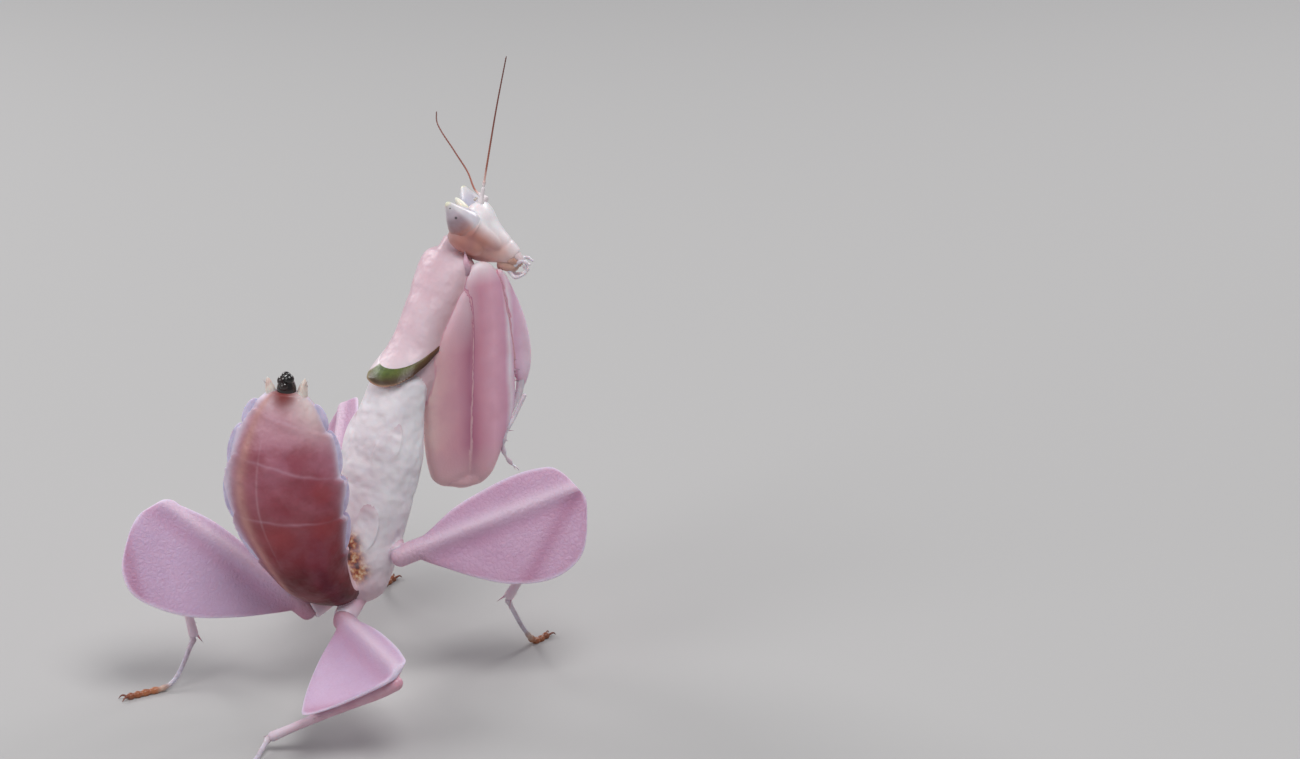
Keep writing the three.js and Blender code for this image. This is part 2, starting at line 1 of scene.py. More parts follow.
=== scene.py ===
# Orchid mantis nymph, life size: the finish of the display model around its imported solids.
#
# Shapes are worked out in millimetres from the waist, where the abdomen meets the thorax, and then
# put in the frame in metres. The animal faces -Y, its left side is +X, and it stands on z = 0.

import functools
import math
import random

import bmesh
import bpy
from mathutils import Matrix, Vector


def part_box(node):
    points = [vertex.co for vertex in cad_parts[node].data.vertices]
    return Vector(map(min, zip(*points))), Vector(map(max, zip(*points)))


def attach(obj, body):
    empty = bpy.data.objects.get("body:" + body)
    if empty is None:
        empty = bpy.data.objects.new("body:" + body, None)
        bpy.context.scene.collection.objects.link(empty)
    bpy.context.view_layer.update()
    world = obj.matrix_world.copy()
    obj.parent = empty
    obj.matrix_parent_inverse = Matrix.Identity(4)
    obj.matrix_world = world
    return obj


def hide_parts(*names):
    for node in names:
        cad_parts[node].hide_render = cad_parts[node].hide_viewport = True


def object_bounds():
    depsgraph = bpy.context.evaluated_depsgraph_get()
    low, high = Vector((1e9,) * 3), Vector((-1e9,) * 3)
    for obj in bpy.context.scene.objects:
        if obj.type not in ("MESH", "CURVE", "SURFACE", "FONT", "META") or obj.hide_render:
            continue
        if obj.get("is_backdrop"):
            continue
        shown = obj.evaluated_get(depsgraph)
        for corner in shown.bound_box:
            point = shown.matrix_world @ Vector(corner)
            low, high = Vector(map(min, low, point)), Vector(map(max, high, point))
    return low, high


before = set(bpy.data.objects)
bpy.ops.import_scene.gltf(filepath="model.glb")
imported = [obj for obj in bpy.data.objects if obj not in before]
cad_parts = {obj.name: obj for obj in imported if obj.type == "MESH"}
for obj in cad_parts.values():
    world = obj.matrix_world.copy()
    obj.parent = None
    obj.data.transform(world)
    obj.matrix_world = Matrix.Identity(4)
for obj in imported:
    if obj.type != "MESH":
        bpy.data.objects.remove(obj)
cad_low, cad_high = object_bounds()

# ---------------- the rig, as in the solids, mm

FLOOR = -5.1  # the floor, measured from the waist
THORAX_BACK, THORAX_FRONT = (0, 0.6, 0), (0, -6.3, 14.6)
WING_JOINT = 0.5  # where the middle and hind thorax part
PRONOTUM_BACK, PRONOTUM_FRONT = (0, -5.4, 13.0), (0, -11.6, 21.0)
PROSTERNUM_BACK, PROSTERNUM_FRONT = (0, -7.6, 14.6), (0, -11.4, 19.6)
NECK_BACK = (0, -10.4, 20.0)
NECK_FRONT = (0, 1.25, -0.25)  # in the head's frame
COLLAR_TILT, COLLAR_TOP_TILT = math.radians(20), math.radians(16.5)
COLLAR_LOW, COLLAR_HIGH = 11.9, 12.95
HEAD_PLACE = (-0.6, -12.2, 22.6)
HEAD_PITCH, HEAD_ROLL, HEAD_TURN = math.radians(-47), math.radians(7.5), math.radians(-55)
EYE_BASE, EYE_TIP = (1.35, -0.05, -0.35), (2.62, -0.76, 2.1)
ABDOMEN_TWIST = math.radians(30)
ABDOMEN_SEAMS = (0.03, 0.29, 0.435, 0.583, 0.722, 0.848, 0.965)
BELLY_LEAD = 0.035  # how far the plates of the belly reach beyond those of the back
BELLY_SLANT = 0.16

UP = Vector((0, 0, 1))
BACKWARDS = Vector((0, 1, 0))
FORWARDS = Vector((0, -1, 0))

HEAD_FRAME = (
    Matrix.Translation(HEAD_PLACE)
    @ Matrix.Rotation(HEAD_TURN, 4, "Z")
    @ Matrix.Rotation(HEAD_PITCH, 4, "X")
    @ Matrix.Rotation(HEAD_ROLL, 4, "Y")
)

# ---------------- curves and sections

LENGTH_STEPS = 40  # straight steps that a curve's length is measured in
CROWDING = 0.88  # how far the rings of a loft crowd towards its ends, from 0 to 1
LEAST_OPEN = 0.06  # how open the last ring before an end stays
WELD = 1e-5  # corners of a loft that are nearer than this, in mm, are one
TOUCH = 1e-6  # places nearer than this are the same


def ease(value, low, high):
    """0 below low and 1 above high, with a smooth step between."""
    x = min(max((value - low) / (high - low), 0.0), 1.0)
    return x * x * (3 - 2 * x)


def hump(value, centre, width):
    return math.exp(-(((value - centre) / width) ** 2))


def wave(t, turns, start=0.0):
    """A sine with so many turns from t = 0 to 1."""
    return math.sin(2 * math.pi * (turns * t + start))


def squared(value, power):
    """A sine or cosine pushed towards a rounded square when power is below 1."""
    return math.copysign(abs(value) ** power, value)


def mirrored(side, points):
    """Points given for the left, on either side."""
    return [(side * x, y, z) for x, y, z in points]


class Spline:
    """A centripetal curve through a few points; t runs from 0 to 1, evenly from point to point."""

    def __init__(self, *points):
        self.knots = [Vector(p) for p in points]
        stations = [self.at(i / LENGTH_STEPS) for i in range(LENGTH_STEPS + 1)]
        self.length = sum((b - a).length for a, b in zip(stations, stations[1:]))

    def _piece(self, t):
        """How far into its piece t is, and the piece's four coefficients."""
        knots = self.knots
        place = min(max(t, 0.0), 1.0) * (len(knots) - 1)
        i = min(int(place), len(knots) - 2)
        b, c = knots[i], knots[i + 1]
        a = knots[i - 1] if i > 0 else 2 * b - c
        d = knots[i + 2] if i + 2 < len(knots) else 2 * c - b
        before, here, after = (math.sqrt((q - p).length) for p, q in ((a, b), (b, c), (c, d)))
        leave = ((b - a) / before - (c - a) / (before + here)) * here + (c - b)
        arrive = (c - b) - ((d - b) / (here + after) - (d - c) / after) * here
        bend = 3 * (c - b) - 2 * leave - arrive
        return place - i, b, leave, bend, 2 * (b - c) + leave + arrive

    def at(self, t):
        w, start, leave, bend, twist = self._piece(t)
        return start + leave * w + bend * w**2 + twist * w**3

    def heading(self, t):
        w, _, leave, bend, twist = self._piece(t)
        return (leave + bend * 2 * w + twist * 3 * w**2).normalized()


class Sizes:
    """Sizes between rows of (place, size, size, ...), on a smooth curve through them."""

    def __init__(self, *rows):
        self.rows = rows

    @functools.lru_cache(maxsize=None)
    def at(self, t):
        rows = self.rows
        t = min(max(t, rows[0][0]), rows[-1][0])
        i = max(k for k in range(len(rows) - 1) if rows[k][0] <= t)
        start, end = rows[i], rows[i + 1]
        before, after = rows[max(i - 1, 0)], rows[min(i + 2, len(rows) - 1)]
        span = end[0] - start[0]
        w = (t - start[0]) / span
        sizes = []
        for k in range(1, len(start)):
            level = (end[k] - start[k]) / span
            enter = (end[k] - before[k]) / (end[0] - before[0])
            leave = (after[k] - start[k]) / (after[0] - start[0])
            bend = 3 * level - 2 * enter - leave
            twist = enter + leave - 2 * level
            sizes.append(start[k] + span * (enter * w + bend * w**2 + twist * w**3))
        return sizes


def oval(rows, square=1.0, swell=None):
    """Oval sections from rows of (place, half width, rise, drop). swell(t, turn) adds to them."""
    sizes = Sizes(*rows)

    def section(t, turn, open_):
        half, rise, drop = sizes.at(t)
        more = swell(t, turn) if swell else 0.0
        s = squared(math.sin(turn), square)
        c = squared(math.cos(turn), square)
        lifted = (rise - drop) / 2 + ((rise + drop) / 2 + more) * open_ * s
        return (half + more) * open_ * c, lifted, 0.0, 0.0

    return section


def opening(distance, length):
    """How open a section is near an end that closes over a length."""
    if length == 0:
        return 1.0
    near = min(max(distance / length, 0.0), 1.0)
    return max(math.sqrt(1 - (1 - near) ** 2), LEAST_OPEN)


def new_shell():
    bm = bmesh.new()
    bm.loops.layers.uv.new("Lie")
    bm.verts.layers.float.new("rim")
    bm.verts.layers.float.new("height")
    bm.faces.layers.int.new("part")
    return bm


def loft(path, up, section, closing, sides, steps, start=0.0, end=1.0):
    """A closed skin round a path, or round points, whose section may be the rows of an oval. Its UV
    map Lie holds the turn round the path and the place on it, and its point attributes rim and
    height what the section says of each point."""
    path = path if isinstance(path, Spline) else Spline(*path)
    section = section if callable(section) else oval(section)
    bm = new_shell()
    rim = bm.verts.layers.float["rim"]
    height = bm.verts.layers.float["height"]
    rows = steps + 2
    made = bmesh.ops.create_grid(bm, x_segments=sides, y_segments=rows, size=0.5, calc_uvs=True)
    rings = []
    for i in range(rows + 1):
        v = min(max((i - 1) / steps, 0.0), 1.0)
        t = start + (end - start) * (v - CROWDING * math.sin(2 * math.pi * v) / (2 * math.pi))
        inside = min(max(t, 0.0), 1.0)
        heading = path.heading(inside)
        centre = path.at(inside) + heading * (t - inside) * path.length
        across = (up(inside) if callable(up) else up).cross(heading).normalized()
        open_ = min(opening(t - start, closing[0]), opening(end - t, closing[1]))
        if i in (0, rows):
            open_ = 0.0
        rings.append((t, centre, across, heading.cross(across), open_))
    for vert in made["verts"]:
        turn = 2 * math.pi * (vert.co.x + 0.5)
        t, centre, across, lift, open_ = rings[round((vert.co.y + 0.5) * rows)]
        aside, lifted, vert[rim], vert[height] = section(t, turn, open_)
        vert.co = centre + across * aside + lift * lifted
    lie = bm.loops.layers.uv["Lie"]
    for face in bm.faces:
        for loop in face.loops:
            loop[lie].uv.y = rings[round(loop[lie].uv.y * rows)][0]
    bmesh.ops.remove_doubles(bm, verts=bm.verts, dist=WELD)
    return bm


def rod(path, radii, up=UP, closing=(0.08, 0.08), sides=24, steps=24, swell=None):
    """A round rod whose radius runs through radii, evenly spaced along it."""
    last = len(radii) - 1
    rows = [(i / last, r, r, r) for i, r in enumerate(radii)]
    return loft(path, up, oval(rows, swell=swell), closing, sides, steps)


def placed(bm, matrix):
    bm.transform(matrix)
    return bm


def gathered(shells):
    """Several shells in one mesh, each left closed by itself."""
    whole = new_shell()
    for shell in shells:
        mesh = bpy.data.meshes.new("gathered")
        shell.to_mesh(mesh)
        shell.free()
        whole.from_mesh(mesh)
        bpy.data.meshes.remove(mesh)
    return whole


# ---------------- abdomen's line and end

ABDOMEN_PATH = Spline(
    (0, -0.1, 1.9), (-0.2, 1.4, 1.8), (-0.15, 2.8, 3.1), (0.05, 3.8, 5.4),
    (0.38, 4.55, 8.8), (0.55, 4.35, 12.8), (0.6, 3.9, 16.5),
)
BACK_OF_BASE = Vector((0, -0.2, 1))
BACK_OF_TIP = Vector((math.sin(ABDOMEN_TWIST), -math.cos(ABDOMEN_TWIST), 0))
ABDOMEN_END = ABDOMEN_PATH.at(ABDOMEN_SEAMS[-1])
TIP_SIDE = UP.cross(BACK_OF_TIP).normalized()


def at_tip(across, up, back=0.0):
    return ABDOMEN_END + TIP_SIDE * across + UP * up + BACK_OF_TIP * back


# The frame is in metres, and the knob stands straight above the end of the abdomen's line.
MM = 0.001
knob_low, knob_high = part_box("abdomen_tip")
knob_centre = (knob_low + knob_high) / (2 * MM)
WAIST = Vector((*(knob_centre - ABDOMEN_END).xy, cad_low.z / MM - FLOOR))
IN_FRAME = Matrix.Scale(MM, 4) @ Matrix.Translation(WAIST)

# ---------------- pieces from shells


def mesh_object(name, bm, materials):
    mesh = bpy.data.meshes.new(name)
    bm.to_mesh(mesh)
    bm.free()
    for material in materials:
        mesh.materials.append(material)
    mesh.polygons.foreach_set("use_smooth", [True] * len(mesh.polygons))
    return linked(bpy.data.objects.new(name, mesh))


def linked(piece):
    bpy.context.scene.collection.objects.link(piece)
    return piece


def finish_piece(name, bm, materials, slot, *nodes):
    """A piece in the frame, which stands for its CAD nodes and hides them. The slot is not used."""
    piece = mesh_object(name, placed(bm, IN_FRAME), materials)
    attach(piece, "root")
    if nodes:
        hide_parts(*nodes)


def coloured(bm, index, part=0):
    """Gives a shell's faces one of its object's materials, and the number of its body part."""
    layer = bm.faces.layers.int["part"]
    for face in bm.faces:
        face.material_index = index
        face[layer] = part
    return bm


# ---------------- finishes


def colour(code):
    """A linear colour from a six-digit web code."""
    channels = [int(code[i : i + 2], 16) / 255 for i in (0, 2, 4)]
    linear = [c / 12.92 if c <= 0.04045 else ((c + 0.055) / 1.055) ** 2.4 for c in channels]
    return (*linear, 1.0)


def add(tree, kind, inputs=(), output=0, **settings):
    """What a new node puts out. Each input is a field, a value, or a colour's web code."""
    node = tree.nodes.new("ShaderNode" + kind)
    for name, value in settings.items():
        setattr(node, name, value)
    for name, value in dict(inputs).items():
        if isinstance(value, Field):
            tree.links.new(value.socket, node.inputs[name])
        else:
            value = colour(value) if isinstance(value, str) else value
            node.inputs[name].default_value = value
    return Field(tree, node.outputs[output])


class Field:
    """A value at each point of a surface. Sums on it make the nodes that work them out."""

    def __init__(self, tree, socket):
        self.tree, self.socket = tree, socket

    def maths(self, operation, other=0.0, clamp=False):
        inputs = {0: self, 1: other}
        return add(self.tree, "Math", inputs, operation=operation, use_clamp=clamp)

    __add__ = functools.partialmethod(maths, "ADD")
    __sub__ = functools.partialmethod(maths, "SUBTRACT")
    __mul__ = functools.partialmethod(maths, "MULTIPLY")
    __truediv__ = functools.partialmethod(maths, "DIVIDE")

    def mixed(self, a, b):
        """Two colours mixed by this share."""
        return add(self.tree, "Mix", {0: self, 6: a, 7: b}, 2, data_type="RGBA")

    def ramp(self, stops, ease_between=True):
        """A colour for each value, from stops of a place and a web code."""
        made = add(self.tree, "ValToRGB", {0: self})
        strip = made.socket.node.color_ramp
        strip.interpolation = "EASE" if ease_between else "LINEAR"
        while len(strip.elements) < len(stops):
            strip.elements.new(1.0)
        for element, place in zip(strip.elements, stops):
            element.position = place
        for element, code in zip(strip.elements, stops.values()):
            element.color = colour(code)
        return made

    def between(self, low, high, kind="LINEAR"):
        """0 at low and 1 at high."""
        inputs = {0: self, 1: low, 2: high}
        return add(self.tree, "MapRange", inputs, interpolation_type=kind)

    def band(self, centre, width):
        """1 at a centre, falling off softly over a width."""
        return use(self.tree, soft_band, Value=self, Centre=centre, Width=width)


def use(tree, node_group, **inputs):
    """The output of a node group with its inputs set."""
    return add(tree, "Group", inputs, node_tree=node_group)


FLOAT, VECTOR, COLOUR = "NodeSocketFloat", "NodeSocketVector", "NodeSocketColor"


def effect(name, output, kind, **inputs):
    """Makes a node group of a function that works one output out from its tree and its inputs."""

    def build(work):
        tree = bpy.data.node_groups.new(name, "ShaderNodeTree")
        for socket, value in inputs.items():
            if isinstance(value, str):
                tree.interface.new_socket(socket, in_out="INPUT", socket_type=value)
            else:
                made = tree.interface.new_socket(socket, in_out="INPUT", socket_type=FLOAT)
                made.default_value = value
        tree.interface.new_socket(output, in_out="OUTPUT", socket_type=kind)
        given = tree.nodes.new("NodeGroupInput").outputs
        made = work(tree, *(Field(tree, given[socket]) for socket in inputs))
        tree.links.new(made.socket, tree.nodes.new("NodeGroupOutput").inputs[0])
        return tree

    return build


@effect("Soft band", "Mask", FLOAT, Value=0.0, Centre=0.0, Width=1.0)
def soft_band(tree, value, centre, width):
    """1 where a value is near a centre, falling off softly over a width."""
    share = (value - centre) / width
    return (share * share * -1.0).maths("EXPONENT")


@effect("Soft spot", "Mask", FLOAT, Position=VECTOR, Place=VECTOR, Radius=0.1)
def soft_spot(tree, position, place, radius):
    """1 within a radius of a place, in millimetres from the object's origin, with a soft edge."""
    inputs = {0: position, 1: place}
    away = add(tree, "VectorMath", inputs, "Value", operation="DISTANCE")
    return ((away / radius).maths("POWER", 3.0) * -1.0).maths("EXPONENT")


@effect(
    "Blotches", "Colour", COLOUR, Colour=COLOUR, Tint=COLOUR, Position=VECTOR, Scale=1.0, Amount=0.5
)
def blotches(tree, tone, tint, position, scale, amount):
    """A colour with soft blotches of a tint."""
    cloud = add(tree, "TexNoise", {"Vector": position, "Scale": scale, "Detail": 4.0})
    share = cloud.between(0.38, 0.66, "SMOOTHSTEP").maths("MULTIPLY", amount, clamp=True)
    return share.mixed(tone, tint)


@effect("Cuticle grain", "Height", FLOAT, Position=VECTOR, Pits=9.0, Swell=1.2)
def cuticle_grain(tree, position, pits, swell):
    """The height of fine living cuticle: soft pits over a slower swell."""
    inputs = {"Vector": position, "Scale": pits}
    fine = add(tree, "TexVoronoi", inputs, "Distance", feature="SMOOTH_F1")
    inputs = {"Vector": position, "Scale": swell, "Detail": 3.0}
    return fine * 0.25 + add(tree, "TexNoise", inputs)


@effect("Petal wrinkles", "Height", FLOAT, Position=VECTOR, Fineness=5.0)
def petal_wrinkles(tree, position, fineness):
    """The height of a petal's fine wrinkles, which run along the leg and waver."""
    inputs = {"Vector": position, "Scale": fineness}
    creases = add(tree, "TexNoise", {**inputs, "Detail": 6.0, "Distortion": 1.2})
    cells = add(tree, "TexVoronoi", inputs, "Distance", feature="DISTANCE_TO_EDGE")
    return (creases - 0.5).maths("ABSOLUTE") + cells * 0.6


class Finish:
    """A material under way: its node tree, what patterns are built on, and its colour so far."""

    def __init__(self, name, base=None):
        self.material = bpy.data.materials.new(name)
        self.material.use_nodes = True
        self.tree = self.material.node_tree
        coordinates = add(self.tree, "TexCoord", output="Object")
        inputs = {0: coordinates, "Scale": 1 / MM}
        self.position = add(self.tree, "VectorMath", inputs, operation="SCALE")
        self.base = base

    @functools.cached_property
    def lie(self):
        return add(self.tree, "UVMap", uv_map="Lie")

    @functools.cached_property
    def turn(self):
        """The turn round a piece's path, from 0 to 1."""
        return add(self.tree, "SeparateXYZ", {0: self.lie}, 0)

    @functools.cached_property
    def along(self):
        """The place along a piece's path, from 0 to 1."""
        return add(self.tree, "SeparateXYZ", {0: self.lie}, 1)

    def attribute(self, name):
        return add(self.tree, "Attribute", output="Fac", attribute_name=name)

    def noise(self, scale, detail=2.0, over=None):
        inputs = {"Vector": over or self.position, "Scale": scale, "Detail": detail}
        return add(self.tree, "TexNoise", inputs)

    def spot(self, place, radius):
        """1 within a radius of a place that is measured from the waist."""
        place = WAIST + Vector(place)
        return use(self.tree, soft_spot, Position=self.position, Place=place, Radius=radius)

    def reach(self, way, start):
        """How far a place lies along a way from a start that is measured from the waist."""
        inputs = {0: self.position, 1: way}
        level = add(self.tree, "VectorMath", inputs, "Value", operation="DOT_PRODUCT")
        return level - way.dot(WAIST + Vector(start))

    def blotched(self, base, tint, scale, amount):
        inputs = {"Colour": base, "Tint": tint, "Position": self.position}
        return use(self.tree, blotches, **inputs, Scale=scale, Amount=amount)

    def blotch(self, tint, scale, amount):
        """Adds soft blotches to the colour so far."""
        self.base = self.blotched(self.base, tint, scale, amount)

    def lay(self, tint, mask, amount=1.0):
        """Lays a tint on the colour so far where a mask says."""
        self.base = mask.maths("MULTIPLY", amount, clamp=True).mixed(self.base, tint)

    def bump(self, height, distance, strength, over=None):
        """A normal from a height, laid over another normal if one is given."""
        inputs = {"Height": height, "Distance": distance * MM, "Strength": strength}
        if over:
            inputs["Normal"] = over
        return add(self.tree, "Bump", inputs)

    def grain(self, distance, strength, over=None):
        height = use(self.tree, cuticle_grain, Position=self.position)
        return self.bump(height, distance, strength, over)

    def done(self, roughness, normal=None, glow=0.0, depth=0.5, coat=0.0):
        """Sets the shader; glow is the share of light that goes under the skin, depth how far."""
        inputs = self.tree.nodes["Principled BSDF"].inputs
        self.tree.links.new(self.base.socket, inputs["Base Color"])
        uniform = {
            "Roughness": roughness,
            "Subsurface Weight": glow,
            "Subsurface Radius": (1.0, 0.55, 0.45),
            "Subsurface Scale": depth * MM,
            "Coat Weight": coat,
            "Coat Roughness": 0.25,
            "IOR": 1.45,
        }
        for name, value in uniform.items():
            inputs[name].default_value = value
        if normal:
            self.tree.links.new(normal.socket, inputs["Normal"])
        return self.material


def plain_finish(name, tone, tint, roughness, glow, coat):
    f = Finish(name, tone)
    f.blotch(tint, 1.6, 0.7)
    return f.done(roughness, f.grain(0.02, 0.5), glow, 0.3, coat)


def petal_finish(name, tone, deep, root, shade):
    """Lilac petals, with a deeper stripe under the shaft, a thin pale rim of painted rim light and
    fine wrinkles. The shadow of the shin behind the petal is painted on as a darker band, where
    along and height add up to shade."""
    f = Finish(name, tone)
    height = f.attribute("height")
    wrinkles = use(f.tree, petal_wrinkles, Position=f.position, Fineness=3.0)
    f.blotch(deep, 0.25, 0.35)
    f.lay(deep, wrinkles.band(0.0, 0.12), 0.3)
    f.lay("c28fae", height.band(-0.9, 0.5), 0.45)
    f.lay("e4cddd", height.band(0.15, 0.45), 0.7)
    f.lay(root, f.along.band(0.0, 0.15), 0.6)
    # Painted shadow of the shin behind the petal: a darker band on the lower petal.
    behind = (f.along + height * -0.1).band(shade, 0.07)
    f.lay("b27898", behind * height.maths("LESS_THAN", -0.3), 0.6)
    # Painted rim light: the petal's edges laid pale lilac-white.
    f.lay("e9dcef", f.attribute("rim"), 0.7)
    return f.done(0.48, f.bump(wrinkles, 0.11, 0.75), glow=0.35, depth=0.6)


def limb_finish():
    """Pale pink translucent limbs, bluish white towards their ends."""
    f = Finish("limb_cuticle", "dcaebf")
    f.blotch("c888a0", 0.8, 0.6)
    f.lay("dfd3de", f.along.band(1.0, 0.4), 0.8)
    f.lay("d3a3ac", f.along.band(0.0, 0.15), 0.3)
    return f.done(0.38, f.grain(0.03, 0.4), glow=0.35, depth=0.5, coat=0.2)


WAIST_PATCH = ((-1.1, 0.5, 4.7), (-1.4, 0.6, 3.8), (-1.8, 0.6, 2.95))


def thorax_finish():
    """Milk-white cuticle, a little pink low down, with a rusty patch where the waist folds."""
    f = Finish("thorax_cuticle", "ece7eb")
    f.blotch("dccfd7", 0.3, 0.35)
    f.lay("c996a6", f.along.band(0.0, 0.2), 0.7)
    spots = [f.spot(place, 0.72) for place in WAIST_PATCH]
    patch = spots[0].maths("MAXIMUM", spots[1]).maths("MAXIMUM", spots[2])
    flecks = {0.36: "4a2218", 0.46: "9a4630", 0.54: "c98a52", 0.64: "e4cfae"}
    f.lay(f.noise(2.6, 5.0).ramp(flecks), patch, 0.95)
    folds = f.bump(f.noise(0.5), 0.75, 0.85)
    return f.done(0.42, f.grain(0.04, 0.5, folds), glow=0.3, depth=0.6)


def pronotum_finish():
    """Pale pink shield of the neck, whiter at its hind edge."""
    f = Finish("pronotum_cuticle", "e0c6cf")
    f.blotch("d0a6b2", 0.35, 0.6)
    f.lay("ead9df", f.along.band(0.12, 0.22), 0.45)
    f.lay("d3a1a6", f.turn.band(0.52, 0.1), 0.5)
    folds = f.bump(f.noise(0.8), 0.35, 0.6)
    return f.done(0.42, f.grain(0.03, 0.5, folds), glow=0.3, depth=0.6)


# The mauve at 0.385 is painted shade in the groove where coxa and thigh meet.
FORELEG_STRIPES_AND_SHADE = {
    0.03: "f4d8d3", 0.12: "eabbbf", 0.27: "dfa5b3", 0.385: "bd7590", 0.46: "da99ad",
    0.57: "f2bccf", 0.665: "e4abc5", 0.71: "f6e6f0", 0.76: "e8bbd5", 0.9: "f3deed",
}
STRIPES_START, STRIPES_SPAN = -2.75, 9.0  # how far forwards the stripes start and reach, in mm


def foreleg_finish():
    """Long stripes across the folded foreleg: tan, pink, mauve painted shade in the groove between
    coxa and thigh, pink and lilac-white. The attribute height holds the distance forwards in mm,
    and rim the share of the way up."""
    f = Finish("foreleg_cuticle")
    forwards, up = f.attribute("height"), f.attribute("rim")
    across = (forwards + f.noise(0.35) * 0.5 - STRIPES_START) / STRIPES_SPAN
    f.base = across.ramp(FORELEG_STRIPES_AND_SHADE, ease_between=False)
    f.blotch("cf90a8", 0.5, 0.3)
    f.lay("e0c1cb", up.between(0.6, 0.8) * forwards.between(1.3, 0.4), 0.85)
    f.lay("ece2e7", up.between(0.9, 0.99), 0.85)
    f.lay("ecd0ce", up.between(0.16, -0.06), 0.75)
    return f.done(0.4, f.grain(0.05, 0.6), glow=0.35, depth=0.6)


# The belly's maroon along the abdomen; its darkest stops, low down near the waist, are painted
# shade.
BELLY_TONES_AND_SHADE = {
    0.0: "7a3a44", 0.2: "4e0d16", 0.4: "64101a", 0.52: "862c38", 0.6: "96424c",
    0.66: "9a4e5c", 0.78: "ad6a7c", 0.88: "cc98a6", 0.95: "dcbcc4",
}
RED_PATCHES = (((-2.4, 4.4, 9.7), 0.7), ((-2.5, 4.2, 7.3), 0.9), ((-0.4, 6.2, 6.7), 1.0))


def abdomen_finish():
    """Rose above, and maroon below where the body shows through, darkest low down by painted shade,
    with pale joint lines, and pale side rims that are partly painted rim light.
    """
    f = Finish("abdomen_cuticle")
    turn, along = f.turn, f.along
    f.base = along.ramp(BELLY_TONES_AND_SHADE)
    f.blotch("861f29", 0.42, 0.5)
    f.blotch("c48b98", 0.8, 0.12)
    level = along + (turn - 0.75) * BELLY_SLANT + f.noise(9.0, over=f.lie) * 0.02
    for seam in ABDOMEN_SEAMS[3:-1]:
        line = level.band(seam + BELLY_LEAD + 0.014, 0.004)
        f.lay("cfa6b8", line * turn.band(0.76, 0.16), 0.35)
        f.lay("7a3840", level.band(seam + BELLY_LEAD, 0.016), 0.22)
    f.lay("d9b7c2", turn.band(0.686, 0.004) * along.band(0.68, 0.14), 0.2)
    f.lay(f.blotched("d09c90", "a86a68", 0.8, 0.6), turn.band(0.622, 0.026), 0.6)
    f.lay("ead5d3", turn.band(0.93, 0.12) * along.band(0.93, 0.07), 0.85)
    belly, f.base = f.base, "e3c3cc"
    f.blotch("c892a0", 0.5, 0.6)
    f.lay("a3606c", turn.band(0.25, 0.03), 0.45)
    for seam in ABDOMEN_SEAMS[1:-1]:
        f.lay("b47684", along.band(seam + 0.006, 0.006), 0.5)
    f.base = turn.maths("GREATER_THAN", 0.5).mixed(f.base, belly)
    # Pale side rims: partly the margins' own paleness, partly painted rim light.
    side_rims_and_rim_light = turn.band(0.52, 0.055).maths("MAXIMUM", turn.band(0.995, 0.035))
    f.lay("dccfe2", side_rims_and_rim_light * along.between(0.3, 0.6), 0.95)
    for place, radius in RED_PATCHES:
        f.lay("a03a3e", f.spot(place, radius), 0.6)
    f.lay("7a2015", f.spot(at_tip(0, -0.25, -0.55), 0.8), 0.95)
    folds = f.bump(f.noise(0.9), 0.3, 0.6)
    return f.done(0.42, f.grain(0.05, 0.5, folds), glow=0.25, depth=0.5, coat=0.05)


# Cheek tones from under the eyes downwards: partly the cheeks' own colour, partly painted shade,
# darkest under the eyes.
CHEEK_SHADE_TONES = {0.1: "b9817c", 0.3: "c67f70", 0.5: "cf8a7a", 0.72: "dfaca1", 0.95: "e9cbc5"}


def head_finish():
    """White face, and cheeks that turn from purple-brown behind the eyes to orange-pink below,
    partly their own colour and partly painted shade.
    """
    f = Finish("head_cuticle", "f6f0f2")
    f.blotch("e2d0d6", 0.8, 0.45)
    up, back = (HEAD_FRAME.to_3x3() @ axis for axis in (UP, BACKWARDS))
    down = f.reach(up, HEAD_PLACE).between(0.95, -3.6)
    cheeks = f.blotched(down.ramp(CHEEK_SHADE_TONES), "b5727a", 0.7, 0.35)
    sides = f.reach(back, HEAD_PLACE).between(-1.35, -0.35, "SMOOTHSTEP")
    # Painted shade on the sides of the head, over the cheeks' own orange-pink.
    f.lay(cheeks, sides, 0.92)
    return f.done(0.38, f.grain(0.03, 0.6), glow=0.28, depth=0.4, coat=0.15)


SKIN_FINISHES = [
    petal_finish("petal_cuticle", "cdb0ce", "c49ebd", "a8606c", 1.4),
    petal_finish("middle_petal_cuticle", "cfaac6", "bd8cac", "dfbccb", 1.02),
    limb_finish(),
    thorax_finish(),
    pronotum_finish(),
    foreleg_finish(),
    abdomen_finish(),
    head_finish(),
    plain_finish("margin_lobe", "d4cee6", "b9aecd", 0.3, 0.4, 0.15),
]
PETAL, MIDDLE_PETAL, LIMB, THORAX, PRONOTUM, FORELEG, ABDOMEN, HEAD, MARGIN = range(9)

# ---------------- trunk

